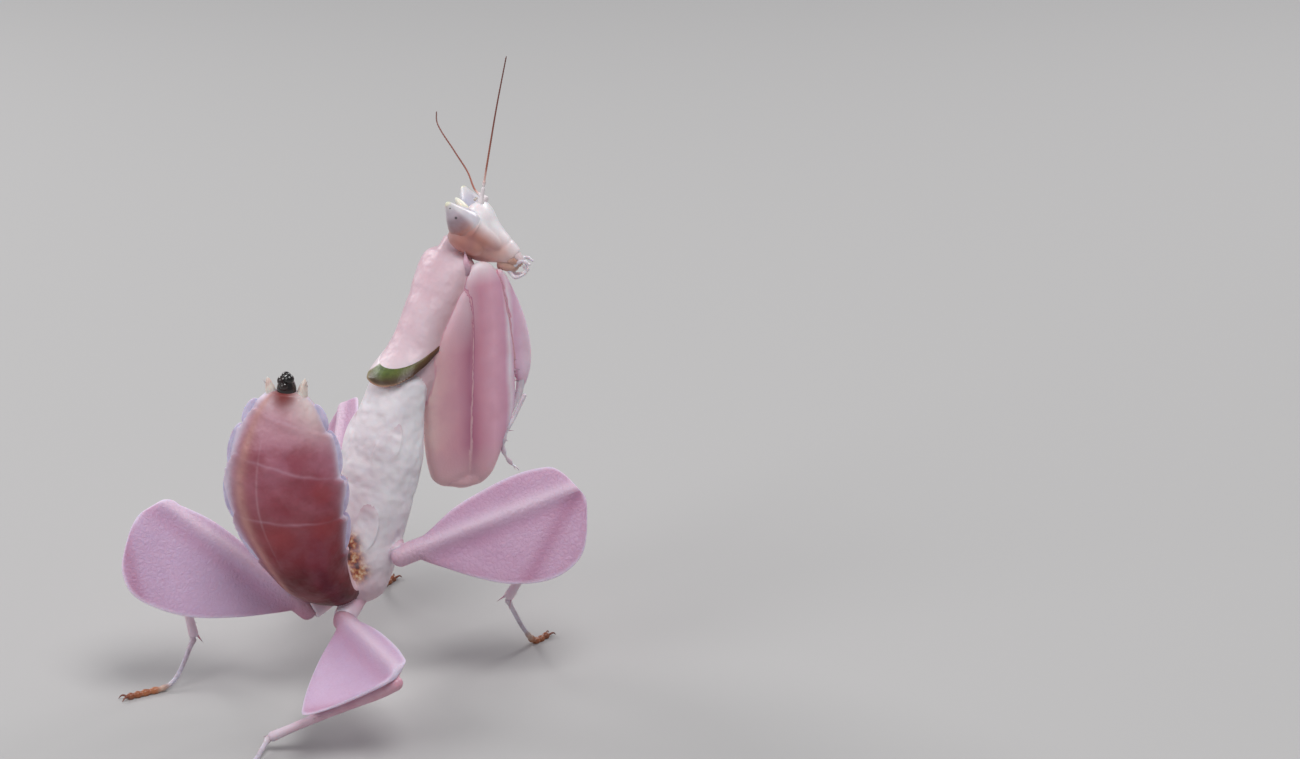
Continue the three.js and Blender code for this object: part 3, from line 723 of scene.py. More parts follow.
THORAX_ROWS = (
    (0, 1.8, 1.5, 1.7), (0.12, 2.4, 1.9, 2.5), (0.4, 2.7, 2.0, 2.55),
    (0.65, 2.7, 2.0, 2.3), (0.82, 2.1, 1.8, 1.8), (1, 1.7, 1.6, 1.4),
)
THORAX_SIZES = Sizes(*THORAX_ROWS)
THORAX_PATH = Spline(THORAX_BACK, THORAX_FRONT)
FORE_PADS = (0.8, 0.55)  # where each wing pad starts and ends along the thorax
HIND_PADS = (0.46, 0.2)
PRONOTUM_ROWS = (
    (0, 2.3, 2.0, 1.9), (0.15, 1.98, 1.7, 1.8), (0.3, 1.68, 1.5, 1.6), (0.5, 1.64, 1.6, 1.5),
    (0.7, 1.86, 1.62, 1.25), (0.86, 2.0, 1.55, 1.05), (1, 1.72, 1.3, 0.9),
)
PRONOTUM_PATH = Spline(PRONOTUM_BACK, PRONOTUM_FRONT)
PRONOTUM_START = -0.05  # below the cut that the collar covers
PROSTERNUM_PATH = Spline(PROSTERNUM_BACK, PROSTERNUM_FRONT)


def thorax():
    def swell(t, turn):
        flank = 0.04 * math.sin(9 * t + 3 * turn) * math.sin(2 * turn + 5 * t)
        return -0.07 * hump(t, WING_JOINT, 0.012) + flank

    section = oval(THORAX_ROWS, 0.9, swell)
    return loft(THORAX_PATH, BACKWARDS, section, (0.1, 0.06), 72, 96, start=0.02, end=0.985)


def on_back(place, across):
    """A point on the thorax's back, and the way the skin faces there."""
    half, rise, _ = THORAX_SIZES.at(place)
    out = rise * math.sqrt(1 - (across / half) ** 2)
    heading = THORAX_PATH.heading(place)
    lift = Vector((0, heading.z, -heading.y))
    point = THORAX_PATH.at(place) + lift * out + Vector((across, 0, 0))
    facing = lift * (out / rise**2) + Vector((across / half**2, 0, 0))
    return point, facing.normalized()


def wing_pad(side, top, tip):
    """A flap that lies on the back at one side and ends in a point nearer the middle."""
    middle = (top + tip) / 2
    places = ((top, 1.45), (middle, 1.7), (tip, 1.2))
    points = [on_back(place, side * across)[0] for place, across in places]
    rows = ((0, 0.4, 0.06, 0.25), (0.5, 0.8, 0.1, 0.25), (1, 0.5, 0.09, 0.25))
    facing = on_back(middle, side * 1.6)[1]
    return loft(points, facing, oval(rows, 0.8), (0.3, 0.35), 32, 32)


def trim(bm, tilt, distance, keep_above):
    """Cuts a shell by a plane that faces up the body, and closes the cut."""
    normal = Vector((0, math.sin(tilt), math.cos(tilt)))
    made = bmesh.ops.bisect_plane(
        bm,
        geom=bm.verts[:] + bm.edges[:] + bm.faces[:],
        dist=TOUCH,
        plane_co=normal * distance,
        plane_no=normal,
        clear_outer=not keep_above,
        clear_inner=keep_above,
    )
    edges = [e for e in made["geom_cut"] if isinstance(e, bmesh.types.BMEdge)]
    bmesh.ops.contextual_create(bm, geom=edges)


def pronotum():
    """The shield of the neck, cut off under the collar, which covers the cut."""

    def swell(t, turn):
        keel = 0.05 * hump(turn, math.pi / 2, 0.12) * ease(t, 0.1, 0.35)
        return keel - 0.06 * hump(t, 0.62, 0.03) * ease(math.sin(turn), -0.2, 0.6)

    section = oval(PRONOTUM_ROWS, 0.92, swell)
    bm = loft(PRONOTUM_PATH, BACKWARDS, section, (0, 0.1), 72, 72, start=PRONOTUM_START)
    tilt, middle = (COLLAR_TILT + COLLAR_TOP_TILT) / 2, (COLLAR_LOW + COLLAR_HIGH) / 2
    trim(bm, tilt, middle, keep_above=True)
    return bm


def neck():
    points = (NECK_BACK, HEAD_FRAME @ Vector(NECK_FRONT))
    return rod(points, (1.15, 1.1, 1.05), BACKWARDS, sides=32)


def prosternum():
    rows = ((0, 1.4, 1.3, 1.2), (0.6, 1.6, 1.3, 1.2), (1, 1.2, 1.0, 0.9))
    return loft(PROSTERNUM_PATH, BACKWARDS, rows, (0.15, 0.15), 32, 24)


def throat():
    """The soft joint under the collar, from the thorax into the plate that carries the forelegs."""
    points = (THORAX_PATH.at(0.8), PROSTERNUM_PATH.at(0.3))
    return rod(points, (1.5, 1.6, 1.3), BACKWARDS, sides=36)


# ---------------- abdomen

ABDOMEN_ROWS = (
    (0, 1.5, 1.0, 1.0), (0.167, 1.9, 1.3, 1.2), (0.333, 2.3, 1.7, 1.6),
    (0.5, 2.9, 2.0, 1.9), (0.667, 3.6, 2.1, 2.0), (0.78, 3.3, 1.9, 1.8),
    (0.86, 2.6, 1.6, 1.4), (0.92, 1.85, 1.2, 1.0), (0.965, 0.9, 0.75, 0.7),
)
ABDOMEN_SIZES = Sizes(*ABDOMEN_ROWS)
FLARE = 0.1  # how much wider each plate is at its hind edge
LAST_LOBE_END = 0.92


def back_of_abdomen(t):
    return BACK_OF_BASE.lerp(BACK_OF_TIP, ease(t, 0.05, 0.45)).normalized()


def plate_place(t):
    """How far along its own plate a place on the abdomen is, from 0 to 1."""
    for start, end in zip(ABDOMEN_SEAMS, ABDOMEN_SEAMS[1:]):
        if t < end:
            return max((t - start) / (end - start), 0.0)
    return 1.0


def abdomen():
    """Overlapping plates: each widens backwards and steps down onto the next."""

    def section(t, turn, open_):
        half, rise, drop = ABDOMEN_SIZES.at(t)
        belly = ease(-math.sin(turn), 0.0, 0.5)
        lead = BELLY_LEAD - BELLY_SLANT * (turn / (2 * math.pi) - 0.75)
        share = plate_place(t - belly * lead)
        step = ease(share, 0.0, 0.12) * (0.35 + 0.65 * share)
        margin = abs(math.cos(turn))
        flank = FLARE * half * (0.25 * step + share**2) * margin**10 * ease(t, 0.3, 0.5)
        faint = 1 - 0.95 * belly * (1 - ease(t, 0.5, 0.6))
        lip = (0.05 - 0.02 * belly) * (step - 0.5) * (1 - 0.5 * margin) * faint
        wide = (half + flank + lip) * open_
        tall = ((rise + drop) / 2 + lip) * open_
        return wide * math.cos(turn), (rise - drop) / 2 + tall * math.sin(turn), 0.0, 0.0

    ends = {"start": ABDOMEN_SEAMS[0], "end": ABDOMEN_SEAMS[-1]}
    return loft(ABDOMEN_PATH, back_of_abdomen, section, (0.03, 0.012), 96, 200, **ends)


def margin_lobe(side, start, end):
    """The thin flap at the edge of an abdomen plate, which stands out at its hind corner."""

    def edge(t, out):
        across = back_of_abdomen(t).cross(ABDOMEN_PATH.heading(t)).normalized()
        return ABDOMEN_PATH.at(t) + across * (side * (ABDOMEN_SIZES.at(t)[0] + out))

    middle = (start + end) / 2
    points = (edge(start, -0.25), edge(middle, -0.02), edge(end + 0.012, 0.2))
    rows = ((0, 0.3, 0.1, 0.1), (0.6, 0.42, 0.1, 0.1), (1, 0.3, 0.07, 0.07))
    return loft(points, back_of_abdomen(middle), rows, (0.3, 0.2), 24, 30)


# ---------------- head

CAPSULE_ROWS = (
    (0, 1.0, 1.5, 1.0), (0.12, 1.7, 1.8, 1.7), (0.25, 2.05, 1.78, 1.8), (0.41, 2.0, 1.5, 1.7),
    (0.56, 1.55, 1.35, 1.5), (0.71, 1.12, 1.28, 1.1), (0.87, 0.85, 1.2, 0.45), (1, 0.6, 1.1, 0.1),
)
BROW = ((1.8, -0.3, 0.5), (1.45, -0.2, -0.2), (1.18, -0.4, -1.2), (0.45, -0.45, -2.7))
TEMPLE = ((1.55, 0.25, 0.6), (1.58, 0.33, 0.0), (1.3, 0.35, -0.8), (0.85, 0.3, -1.8))


def capsule():
    """The head without its eyes, narrowing to the mouth, with a faint groove above the lip."""

    def swell(t, turn):
        shield = 0.03 * hump(t, 0.34, 0.07) * hump(turn, 1.57, 0.5)
        return (shield - 0.03 * hump(t, 0.77, 0.02)) * ease(math.sin(turn), 0.1, 0.7)

    section = oval(CAPSULE_ROWS, swell=swell)
    return loft(((0, 0, 0.95), (0, 0, -3.6)), FORWARDS, section, (0.1, 0.06), 80, 100)


def brow(side):
    """The ridge that carries an eye's outer edge on down the face."""
    return rod(mirrored(side, BROW), (0.96, 1.05, 0.7, 0.35), FORWARDS, (0.1, 0.2), 40, 48)


def temple(side):
    """The full side of the head, which the lower part of an eye is sunk in."""
    return rod(mirrored(side, TEMPLE), (0.85, 0.98, 0.9, 0.5), FORWARDS, (0.3, 0.2), 40, 40)


# ---------------- walking legs

# Each row of a lobe is the place along the thigh, and the rise and drop as shares of its length.
HIND_LOBE = (
    (0.05, 0.0, 0.03), (0.15, 0.04, 0.13), (0.3, 0.07, 0.27), (0.5, 0.085, 0.42),
    (0.7, 0.085, 0.5), (0.85, 0.06, 0.51), (0.97, 0.02, 0.43), (1.06, -0.06, 0.31),
)
HIND_RIGHT_LOBE = (
    (0.05, 0.0, 0.03), (0.15, 0.06, 0.14), (0.3, 0.095, 0.28), (0.5, 0.11, 0.43),
    (0.7, 0.11, 0.55), (0.82, 0.1, 0.58), (0.93, 0.08, 0.42), (1.02, 0.02, 0.2),
)
MIDDLE_LOBE = (
    (0.08, 0.03, 0.04), (0.2, 0.07, 0.14), (0.35, 0.13, 0.26), (0.5, 0.16, 0.35),
    (0.7, 0.18, 0.4), (0.86, 0.165, 0.36), (0.96, 0.12, 0.26), (1.02, 0.02, 0.16),
)
SHAFT = Sizes((0, 0.7), (0.3, 0.66), (0.8, 0.49), (1, 0.52), (1.06, 0.3))
SHIN_ASIDE = 0.55  # how far the shin's top lies beside the thigh's lobe
PETAL_HALF = 0.2
# How wide the petal's edge is painted pale as rim light, in mm.
PAINTED_RIM_LIGHT_WIDTH = 0.3
SOLE_LIFT = 0.16
PAD_LENGTH = 1.3


class Leg:
    """A walking leg: its joints, from the waist, and the lobe that hangs from its thigh to fall."""

    def __init__(self, lobe, fall, coxa, hip, knee, ankle, heel, toe):
        self.lobe = lobe
        self.coxa, self.hip, self.knee, self.ankle = map(Vector, (coxa, hip, knee, ankle))
        self.along = (self.knee - self.hip).normalized()
        fall = Vector(fall)
        self.fall = (fall - self.along * fall.dot(self.along)).normalized()
        self.face = self.along.cross(self.fall)  # the way the thigh's flat side faces
        side = math.copysign(1, (self.ankle - self.knee).dot(self.face))
        self.shin_top = self.knee + self.face * side * SHIN_ASIDE
        heel, toe = (Vector((x, y, max(z, FLOOR + SOLE_LIFT))) for x, y, z in (heel, toe))
        self.ahead = Vector((toe.x - heel.x, toe.y - heel.y, 0)).normalized()
        self.foot_line = Spline(ankle, heel, toe - self.ahead * PAD_LENGTH, toe)


LEGS = {
    "hind_left": Leg(
        HIND_LOBE, (0.04, 0.8, -0.59), (0.8, -0.4, 1.0), (1.5, 1.7, -0.2),
        (9.4, 6.6, 6.9), (8.4, 5.3, -2.7), (7.7, 8.2, -4.7), (8.8, 11.1, FLOOR),
    ),
    "hind_right": Leg(
        HIND_RIGHT_LOBE, (0.48, 0.78, -0.4), (-0.8, -0.4, 1.0), (-1.5, 1.8, 0),
        (-10.6, 6.7, 0.6), (-3.4, 10.8, -4.3), (-4.4, 13.5, FLOOR), (-5.5, 16.6, FLOOR),
    ),
    "middle_left": Leg(
        MIDDLE_LOBE, (0.56, 0.15, -0.83), (1.5, -2.8, 3.9), (3.0, -1.9, 3.5),
        (9.9, -11.2, 8.2), (7.6, -9.9, -0.9), (7.9, -11.2, -3.7), (8.3, -13.9, FLOOR),
    ),
    "middle_right": Leg(
        MIDDLE_LOBE, (-0.56, 0.15, -0.83), (-1.5, -2.8, 3.9), (-3.0, -1.9, 3.5),
        (-9.9, -11.5, 6.95), (-5.9, -9.1, -1.1), (-6.1, -10.6, -3.8), (-6.1, -13.0, FLOOR),
    ),
}


def thigh(leg):
    """A round shaft that thins out into a petal above and below it."""
    length = (leg.knee - leg.hip).length
    outline = Sizes(*leg.lobe)
    first, last = leg.lobe[0][0], leg.lobe[-1][0]

    def section(t, turn, open_):
        rise, drop = (size * length for size in outline.at(t))
        spread = ease(t, 0.0, first + 0.05)
        radius = SHAFT.at(t)[0]
        rise = max(rise * spread, radius * ease(1.05 - t, 0, 0.05))
        drop = max(drop * spread, radius)
        middle, half = (rise - drop) / 2, (rise + drop) / 2
        span = math.cos(turn)
        height = middle + half * open_ * span
        bulge = max(radius - PETAL_HALF, 0) * hump(height, 0, radius) * ease(1.06 - t, 0, 0.06)
        thick = (PETAL_HALF + bulge) * math.sqrt(1 - span**4) * math.sqrt(open_)
        edge = min(half * open_ * (1 - abs(span)), (last - t) * length)
        # rim marks the petal's edge, which the finish paints pale as rim light.
        rim = (1 - ease(edge, 0.0, PAINTED_RIM_LIGHT_WIDTH)) * ease(t, 0.15, 0.4)
        return math.copysign(thick, math.sin(turn)), height, rim, height

    ends = {"start": -0.04, "end": last}
    return loft((leg.hip, leg.knee), -leg.fall, section, (0.05, 0.12), 80, 84, **ends)


def hip_joint(leg):
    return rod((leg.coxa, leg.hip), (0.8, 0.75, 0.7), sides=32, steps=16)


def knee_joint(leg):
    """Joins the top of a shin to the end of its thigh, inside both."""
    down = (leg.ankle - leg.shin_top).normalized()
    points = (leg.knee - leg.along * 0.5, leg.shin_top + down * 0.45)
    return rod(points, (0.2, 0.25, 0.2), leg.fall, (0.15, 0.15), 16, 12)


def shin(leg):
    radii = (0.42, 0.5, 0.42, 0.34, 0.3, 0.28, 0.34)
    return rod((leg.shin_top, leg.ankle), radii, leg.face, (0.05, 0.03), 24, 40)


# ---------------- forelegs


class Foreleg:
    """A folded foreleg, with its own frame: forwards is -Y, and heights are along Z."""

    def __init__(self, side, place, splay, coxa_top):
        self.side, self.coxa_top = side, coxa_top
        self.frame = Matrix.Translation(place) @ Matrix.Rotation(math.radians(splay), 4, "Z")

    def at(self, forwards, height, out=0.0):
        return self.side * out, -forwards, height

    def line(self, points):
        return [self.at(*point) for point in points]


FORELEGS = {
    "fore_right": Foreleg(-1, (-1.7, -9.6, 6.4), -20, 0.4),
    "fore_left": Foreleg(1, (1.35, -12.0, 6.4), 20, -1.2),
}
# Points along a folded foreleg, as (distance forwards, height, distance outwards).
FORE_COXA_LINE = ((-0.85, 8), (-1, 4.2), (-0.95, 1.2), (-0.7, -0.6))
FORE_THIGH_LINE = ((1.0, -0.9), (1.65, 1.9), (2.2, 4.6), (2.35, 7.6), (2.15, 11), (1.6, 14.3))
FORE_SHIN_LINE = ((2.6, 13.5), (3.0, 12.6), (4.05, 10), (4.5, 7.5), (4.7, 5.2))
KNUCKLE_LINE = ((-1.6, -0.05), (1.5, -0.45))
FORE_COXA_ROWS = (
    (0, 0.6, 0.5, 0.45), (0.18, 0.7, 1.1, 0.85), (0.36, 0.78, 1.8, 1.6),
    (0.64, 0.78, 1.9, 1.6), (0.86, 0.75, 1.75, 1.33), (1, 0.7, 1.5, 1.1),
)
FORE_THIGH_ROWS = (
    (0, 0.7, 0.75, 1.2), (0.18, 0.75, 1.35, 1.75), (0.36, 0.8, 1.72, 2.05),
    (0.56, 0.8, 1.6, 2.0), (0.78, 0.75, 1.35, 1.75), (1, 0.6, 1.15, 1.25),
)
KNUCKLE_ROWS = ((0, 0.62, 0.3, 0.3), (0.5, 0.7, 0.6, 0.6), (1, 0.62, 0.4, 0.4))
FORE_SHIN_ROWS = (
    (0, 0.4, 0.5, 0.5), (0.15, 0.45, 0.66, 0.75), (0.45, 0.48, 0.76, 0.85),
    (0.75, 0.42, 0.82, 0.85), (1, 0.3, 0.3, 0.3),
)
SHOULDER_LIE = (0.5, 0.7)  # the place on the neck shield whose colour the shoulder takes


def shoulder(foreleg):
    """The soft joint that runs from the neck shield into the top of a foreleg."""
    top = foreleg.frame @ Vector(foreleg.at(foreleg.coxa_top - 0.3, 11.2, -0.35))
    root = PRONOTUM_PATH.at(0.6) + Vector((foreleg.side * 0.4, -0.4, 0))
    bm = rod((top, (top + root) / 2, root), (0.6, 0.95, 0.9), BACKWARDS, sides=32)
    lie = bm.loops.layers.uv["Lie"]
    for face in bm.faces:
        for loop in face.loops:
            loop[lie].uv = SHOULDER_LIE
    return bm


def foreleg_shells(foreleg):
    """Coxa, thigh with its trochanter, and shin of a folded foreleg."""
    top = foreleg.coxa_top + 0.5
    coxa_line = ((top, 12.9, -0.2), (0.4 * top - 0.5, 10.4), *FORE_COXA_LINE)
    shells = (
        (coxa_line, FORWARDS, oval(FORE_COXA_ROWS, 0.72), (0.08, 0.12), 48, 56),
        (FORE_THIGH_LINE, FORWARDS, oval(FORE_THIGH_ROWS, 0.72), (0.1, 0.1), 48, 60),
        (KNUCKLE_LINE, UP, KNUCKLE_ROWS, (0.2, 0.2), 24, 20),
        (FORE_SHIN_LINE, FORWARDS, oval(FORE_SHIN_ROWS, 0.85), (0.06, 0.14), 32, 48),
    )
    for line, *shape in shells:
        bm = loft(foreleg.line(line), *shape)
        forwards = bm.verts.layers.float["height"]
        upwards = bm.verts.layers.float["rim"]
        for vert in bm.verts:
            vert[forwards] = -vert.co.y
            vert[upwards] = vert.co.z / FORE_THIGH_LINE[-1][1]
        yield placed(bm, foreleg.frame)


# ---------------- the skin

JOIN_GRAIN = 0.03  # corners on a join that are nearer to each other than this become one


def united(shells):
    """One closed skin from closed shells that run into each other."""
    bodies = [mesh_object("body_%d" % i, bm, SKIN_FINISHES) for i, bm in enumerate(shells)]
    first, *others = bodies
    for other in others:
        join = first.modifiers.new(other.name, "BOOLEAN")
        join.operation = "UNION"
        join.solver = "MANIFOLD"
        join.object = other
    scene_now = bpy.context.evaluated_depsgraph_get()
    mesh = bpy.data.meshes.new_from_object(first.evaluated_get(scene_now))
    whole = bmesh.new()
    whole.from_mesh(mesh)
    bpy.data.meshes.remove(mesh)
    for body in bodies:
        data = body.data
        bpy.data.objects.remove(body)
        bpy.data.meshes.remove(data)
    return whole


def on_joins(bm):
    """The corners where body parts meet, in the mesh's own order, so that each run is the same."""
    part = bm.faces.layers.int["part"]
    return [v for v in bm.verts if len({f[part] for f in v.link_faces}) > 1]


def soften(bm, corners, rings, rounds):
    """Smooths some corners and so many rings of neighbours, in so many rounds."""
    near = set(corners)
    for _ in range(rings):
        near |= {e.other_vert(v) for v in near for e in v.link_edges}
    verts = [v for v in bm.verts if v in near]
    every_way = {"use_axis_" + axis: True for axis in "xyz"}
    for _ in range(rounds):
        bmesh.ops.smooth_vert(bm, verts=verts, factor=0.5, **every_way)


def soften_joins(bm):
    """Smooths the skin where one body part runs into another, and most where a foreleg folds."""
    bmesh.ops.remove_doubles(bm, verts=on_joins(bm), dist=JOIN_GRAIN)
    joins = on_joins(bm)
    folds = [v for v in joins if all(f.material_index == FORELEG for f in v.link_faces)]
    soften(bm, joins, rings=2, rounds=5)
    soften(bm, folds, rings=3, rounds=6)


def skin():
    """The whole flesh of the animal, in place of the solids' nodes of flesh."""
    shells = []

    def take(finish, *made):
        for bm in made:
            shells.append(coloured(bm, finish, len(shells) + 1))

    take(THORAX, thorax())
    for side in (1, -1):
        take(THORAX, wing_pad(side, *FORE_PADS), wing_pad(side, *HIND_PADS))
    take(ABDOMEN, abdomen())
    for start, end in list(zip(ABDOMEN_SEAMS, ABDOMEN_SEAMS[1:]))[2:]:
        take(MARGIN, *(margin_lobe(side, start, min(end, LAST_LOBE_END)) for side in (1, -1)))
    take(PRONOTUM, prosternum(), throat(), pronotum(), neck())
    take(HEAD, placed(capsule(), HEAD_FRAME))
    for side in (1, -1):
        take(HEAD, placed(brow(side), HEAD_FRAME), placed(temple(side), HEAD_FRAME))
    for name, leg in LEGS.items():
        take(LIMB, hip_joint(leg))
        take(MIDDLE_PETAL if name.startswith("middle") else PETAL, thigh(leg))
        take(LIMB, knee_joint(leg), shin(leg))
    for foreleg in FORELEGS.values():
        take(FORELEG, *foreleg_shells(foreleg))
        take(PRONOTUM, shoulder(foreleg))
    bm = united(shells)
    soften_joins(bm)
    flesh = ["head", "pronotum", "prosternum", "mesothorax", "metathorax"]
    flesh += ["abdomen_%d" % i for i in range(1, 7)]
    flesh += [f"{leg}_{part}" for leg in (*LEGS, *FORELEGS) for part in ("coxa", "femur", "tibia")]
    finish_piece("skin", bm, SKIN_FINISHES, "pink_cuticle", *flesh)


skin()

# ---------------- small parts

# Tone, tint, roughness, glow and coat of each plain finish.
PLAIN_LOOKS = {
    "glassy_cuticle": ("e9e1e8", "d0c2cd", 0.25, 0.35, 0.4),
    "claw_horn": ("8c4a34", "5a2c20", 0.3, 0.0, 0.4),
    "thorn": ("dfbccb", "c58da0", 0.35, 0.2, 0.0),
    "fine_hair": ("e9dfe2", "cdb9bd", 0.5, 0.0, 0.0),
    "horn_tip": ("efeadb", "dcdcae", 0.35, 0.2, 0.3),
    "ocellus": ("d3cbc2", "a58f84", 0.15, 0.0, 0.8),
    "lip": ("ead9dc", "d3b1af", 0.35, 0.25, 0.2),
    "jaw": ("d2aa9b", "b98474", 0.35, 0.15, 0.3),
    "knob_black": ("120d0c", "2c1512", 0.2, 0.0, 0.7),
    "cercus_cuticle": ("eadfd6", "d9b9b0", 0.35, 0.3, 0.2),
}
PLAIN = {name: plain_finish(name, *look) for name, look in PLAIN_LOOKS.items()}


def spike(base, tip, radius, sides=5):
    """A straight thorn or hair, closed at its foot."""
    base, tip = Vector(base), Vector(tip)
    bm = new_shell()
    size = {"radius1": radius, "radius2": 0, "depth": (tip - base).length}
    bmesh.ops.create_cone(bm, cap_ends=True, segments=sides, **size)
    bmesh.ops.remove_doubles(bm, verts=bm.verts, dist=TOUCH)
    turned = (tip - base).to_track_quat("Z", "Y").to_matrix().to_4x4()
    return placed(bm, Matrix.Translation((base + tip) / 2) @ turned)


def hook(points, radii, sides=8, steps=12):
    """A curved claw or finger, thick at its foot."""
    return rod(points, radii, closing=(0.05, 0.12), sides=sides, steps=steps)


def bead(centre, radius):
    bm = new_shell()
    bmesh.ops.create_icosphere(bm, subdivisions=3, radius=radius)
    return placed(bm, Matrix.Translation(centre))


# ---------------- eyes, horn and feelers

# Each dark dot of an eye: its place in the head's frame, and its radius.
EYE_DOTS = ((-2.75, -0.5, 0.98, 0.085), (-2.74, -0.68, 1.67, 0.05))
EYE_ROWS = (
    (0, 0.95, 1, 0.95), (0.3, 1, 1.1, 1.05), (0.55, 0.78, 0.8, 0.8),
    (0.8, 0.42, 0.42, 0.42), (1, 0.14, 0.14, 0.14),
)
# Down the eye's outer side: orange-pink at the foot, a purple-brown band of painted shade, then
# grey-lavender to a pale tip.
EYE_OUTSIDE_AND_SHADE = {
    0.0: "c67e6c", 0.3: "bd7868", 0.42: "a07070", 0.58: "a18a92",
    0.76: "c8bac4", 0.92: "dfd9db", 0.98: "ece8c8",
}
EYE_INSIDE = {0.0: "efe6ea", 0.45: "ddd7e0", 0.9: "e6e2e4", 0.98: "ece8c8"}
# How much of the ridge's painted highlight, and of the inside's colours, each turn round an eye
# takes.
EYE_RIDGE_HIGHLIGHT = {
    0.0: "505050", 0.1: "ffffff", 0.25: "ffffff", 0.3: "000000", 0.92: "000000", 1.0: "505050"
}
EYE_FACING = {0.0: "000000", 0.05: "303030", 0.14: "ffffff", 0.62: "ffffff", 0.74: "000000"}


def eye_finish():
    """Grey-lavender cones, purple-brown painted shade at the foot outside, whiter towards the face,
    with a painted highlight along the ridge and painted shade on the inner side.
    """
    f = Finish("eye_surface")
    turn, along = f.turn, f.along
    f.base = along.ramp(EYE_OUTSIDE_AND_SHADE)
    # Painted highlight: a pale strip along the eye's ridge.
    f.lay("dcc9cb", turn.ramp(EYE_RIDGE_HIGHLIGHT) * along.between(0.55, 0.2), 0.9)
    outside, f.base = f.base, along.ramp(EYE_INSIDE)
    # Painted shade: a grey-lavender patch on the eye's inner side.
    f.lay("a9a9c0", turn.band(0.5, 0.13) * along.band(0.45, 0.28), 0.75)
    f.base = turn.ramp(EYE_FACING).mixed(outside, f.base)
    f.blotch("b9aeb9", 1.2, 0.25)
    for *place, radius in EYE_DOTS:
        f.lay("241c20", f.spot(HEAD_FRAME @ Vector(place), radius), 0.95)
    inputs = {"Vector": f.position, "Scale": 14.0}
    facets = add(f.tree, "TexVoronoi", inputs, "Distance")
    return f.done(0.3, f.bump(facets, 0.01, 0.3), glow=0.2, depth=0.3, coat=0.3)


def eye(side):
    """The right eye, turned over for the left."""
    bm = loft(mirrored(-1, (EYE_BASE, EYE_TIP)), FORWARDS, EYE_ROWS, (0.2, 0.06), 64, 48)
    if side > 0:
        bm.transform(Matrix.Diagonal((-1, 1, 1, 1)))
        bmesh.ops.reverse_faces(bm, faces=bm.faces)
    return placed(bm, HEAD_FRAME)


def horn():
    rows = ((0, 0.36, 0.28, 0.28), (0.5, 0.36, 0.25, 0.25), (1, 0.12, 0.1, 0.1))
    bm = loft(((0, -0.5, 0.7), (0, -0.62, 1.9)), FORWARDS, rows, (0.05, 0.1), 32, 24)
    return placed(bm, HEAD_FRAME)


def ocelli():
    places = ((0, -1.64, 0.72), (0.22, -1.5, 0.92), (-0.22, -1.5, 0.92))
    return placed(gathered(bead(place, 0.1) for place in places), HEAD_FRAME)


ANTENNAE = {
    "antenna_right": ((-0.38, -1.85, 0.62), (-0.5, -4.7, 2.5), (-0.6, -7, 4), (-0.7, -9.9, 5.8)),
    "antenna_left": (
        (0.38, -1.85, 0.62), (1.1, -1.6, 1.35), (2.3, -1.75, 2.45),
        (4, -1.65, 4), (6.6, -1.5, 6.2), (7.35, -1.8, 6.75),
    ),
}
WHIP_TONES = {0.08: "efe4e6", 0.14: "dcb0a6", 0.22: "a56352", 0.6: "84483c", 1.0: "6b3c34"}


def antenna(points):
    """A thick first joint, a small second one, and a fine beaded whip."""

    def swell(t, turn):
        first = 0.06 * (1 - ease(t, 0.07, 0.085)) + 0.08 * hump(t, -0.02, 0.03)
        second = 0.035 * (ease(t, 0.09, 0.095) - ease(t, 0.115, 0.125))
        rings = 0.006 * wave(t, 60, 0.25) * ease(t, 0.12, 0.16)
        return first + second + rings - 0.03 * t

    section = oval(((0, 0.07, 0.07, 0.07), (1, 0.07, 0.07, 0.07)), swell=swell)
    return placed(loft(points, UP, section, (0.01, 0.02), 10, 360, start=-0.04), HEAD_FRAME)


def antenna_finish():
    f = Finish("antenna_whip")
    f.base = f.along.ramp(WHIP_TONES)
    return f.done(0.4, coat=0.2)


JAW = ((0.42, -0.2, -2.95), (0.42, -0.4, -3.55), (0.14, -0.45, -4.2))
PALPS = (
    ((0.35, -0.2, -3.85), (0.6, -0.85, -4), (0.55, -1.05, -4.55)),
    ((0.3, 0.3, -3.8), (0.42, 0.3, -4.4), (0.42, -0.4, -4.65), (0.4, -0.65, -4.25)),
)


def palp(side, points):
    """A row of three or four joints, each a little swollen at its end."""

    def swell(t, turn):
        return 0.018 * wave(t, 3.2, 0.1) - 0.03 * t

    return rod(mirrored(side, points), (0.13, 0.13, 0.11), UP, (0.03, 0.08), 14, 48, swell)


def mouthparts():
    """Lip, two jaws, the block behind them, and two pairs of jointed palps."""
    rows = ((0, 0.62, 0.25, 0.4), (0.5, 0.56, 0.2, 0.4), (1, 0.36, 0.12, 0.2))
    points = ((0, -0.75, -2.9), (0, -0.8, -3.5), (0, -0.66, -4.12))
    pieces = [coloured(loft(points, FORWARDS, rows, (0.05, 0.2), 32, 24), 0)]
    rows = ((0, 0.55, 0.5, 0.4), (0.6, 0.6, 0.5, 0.45), (1, 0.4, 0.35, 0.3))
    points = ((0, 0.5, -2.9), (0, -0.25, -4.15))
    pieces.append(coloured(loft(points, FORWARDS, rows, (0.1, 0.2), 32, 24), 1))
    for side in (1, -1):
        pieces.append(coloured(hook(mirrored(side, JAW), (0.26, 0.28, 0.22, 0.1), 16), 1))
        pieces += [coloured(palp(side, points), 2) for points in PALPS]
    return placed(gathered(pieces), HEAD_FRAME)


# ---------------- collar and tip of the abdomen

# How high the green reaches at each turn round the collar, as a share of COLLAR_REACH in mm.
COLLAR_LIMIT = {
    0.0: "404040", 0.12: "606060", 0.17: "a0a0a0", 0.24: "e0e0e0",
    0.32: "ffffff", 0.42: "ffffff", 0.6: "b0b0b0", 0.7: "555555",
}
COLLAR_REACH = 1.6


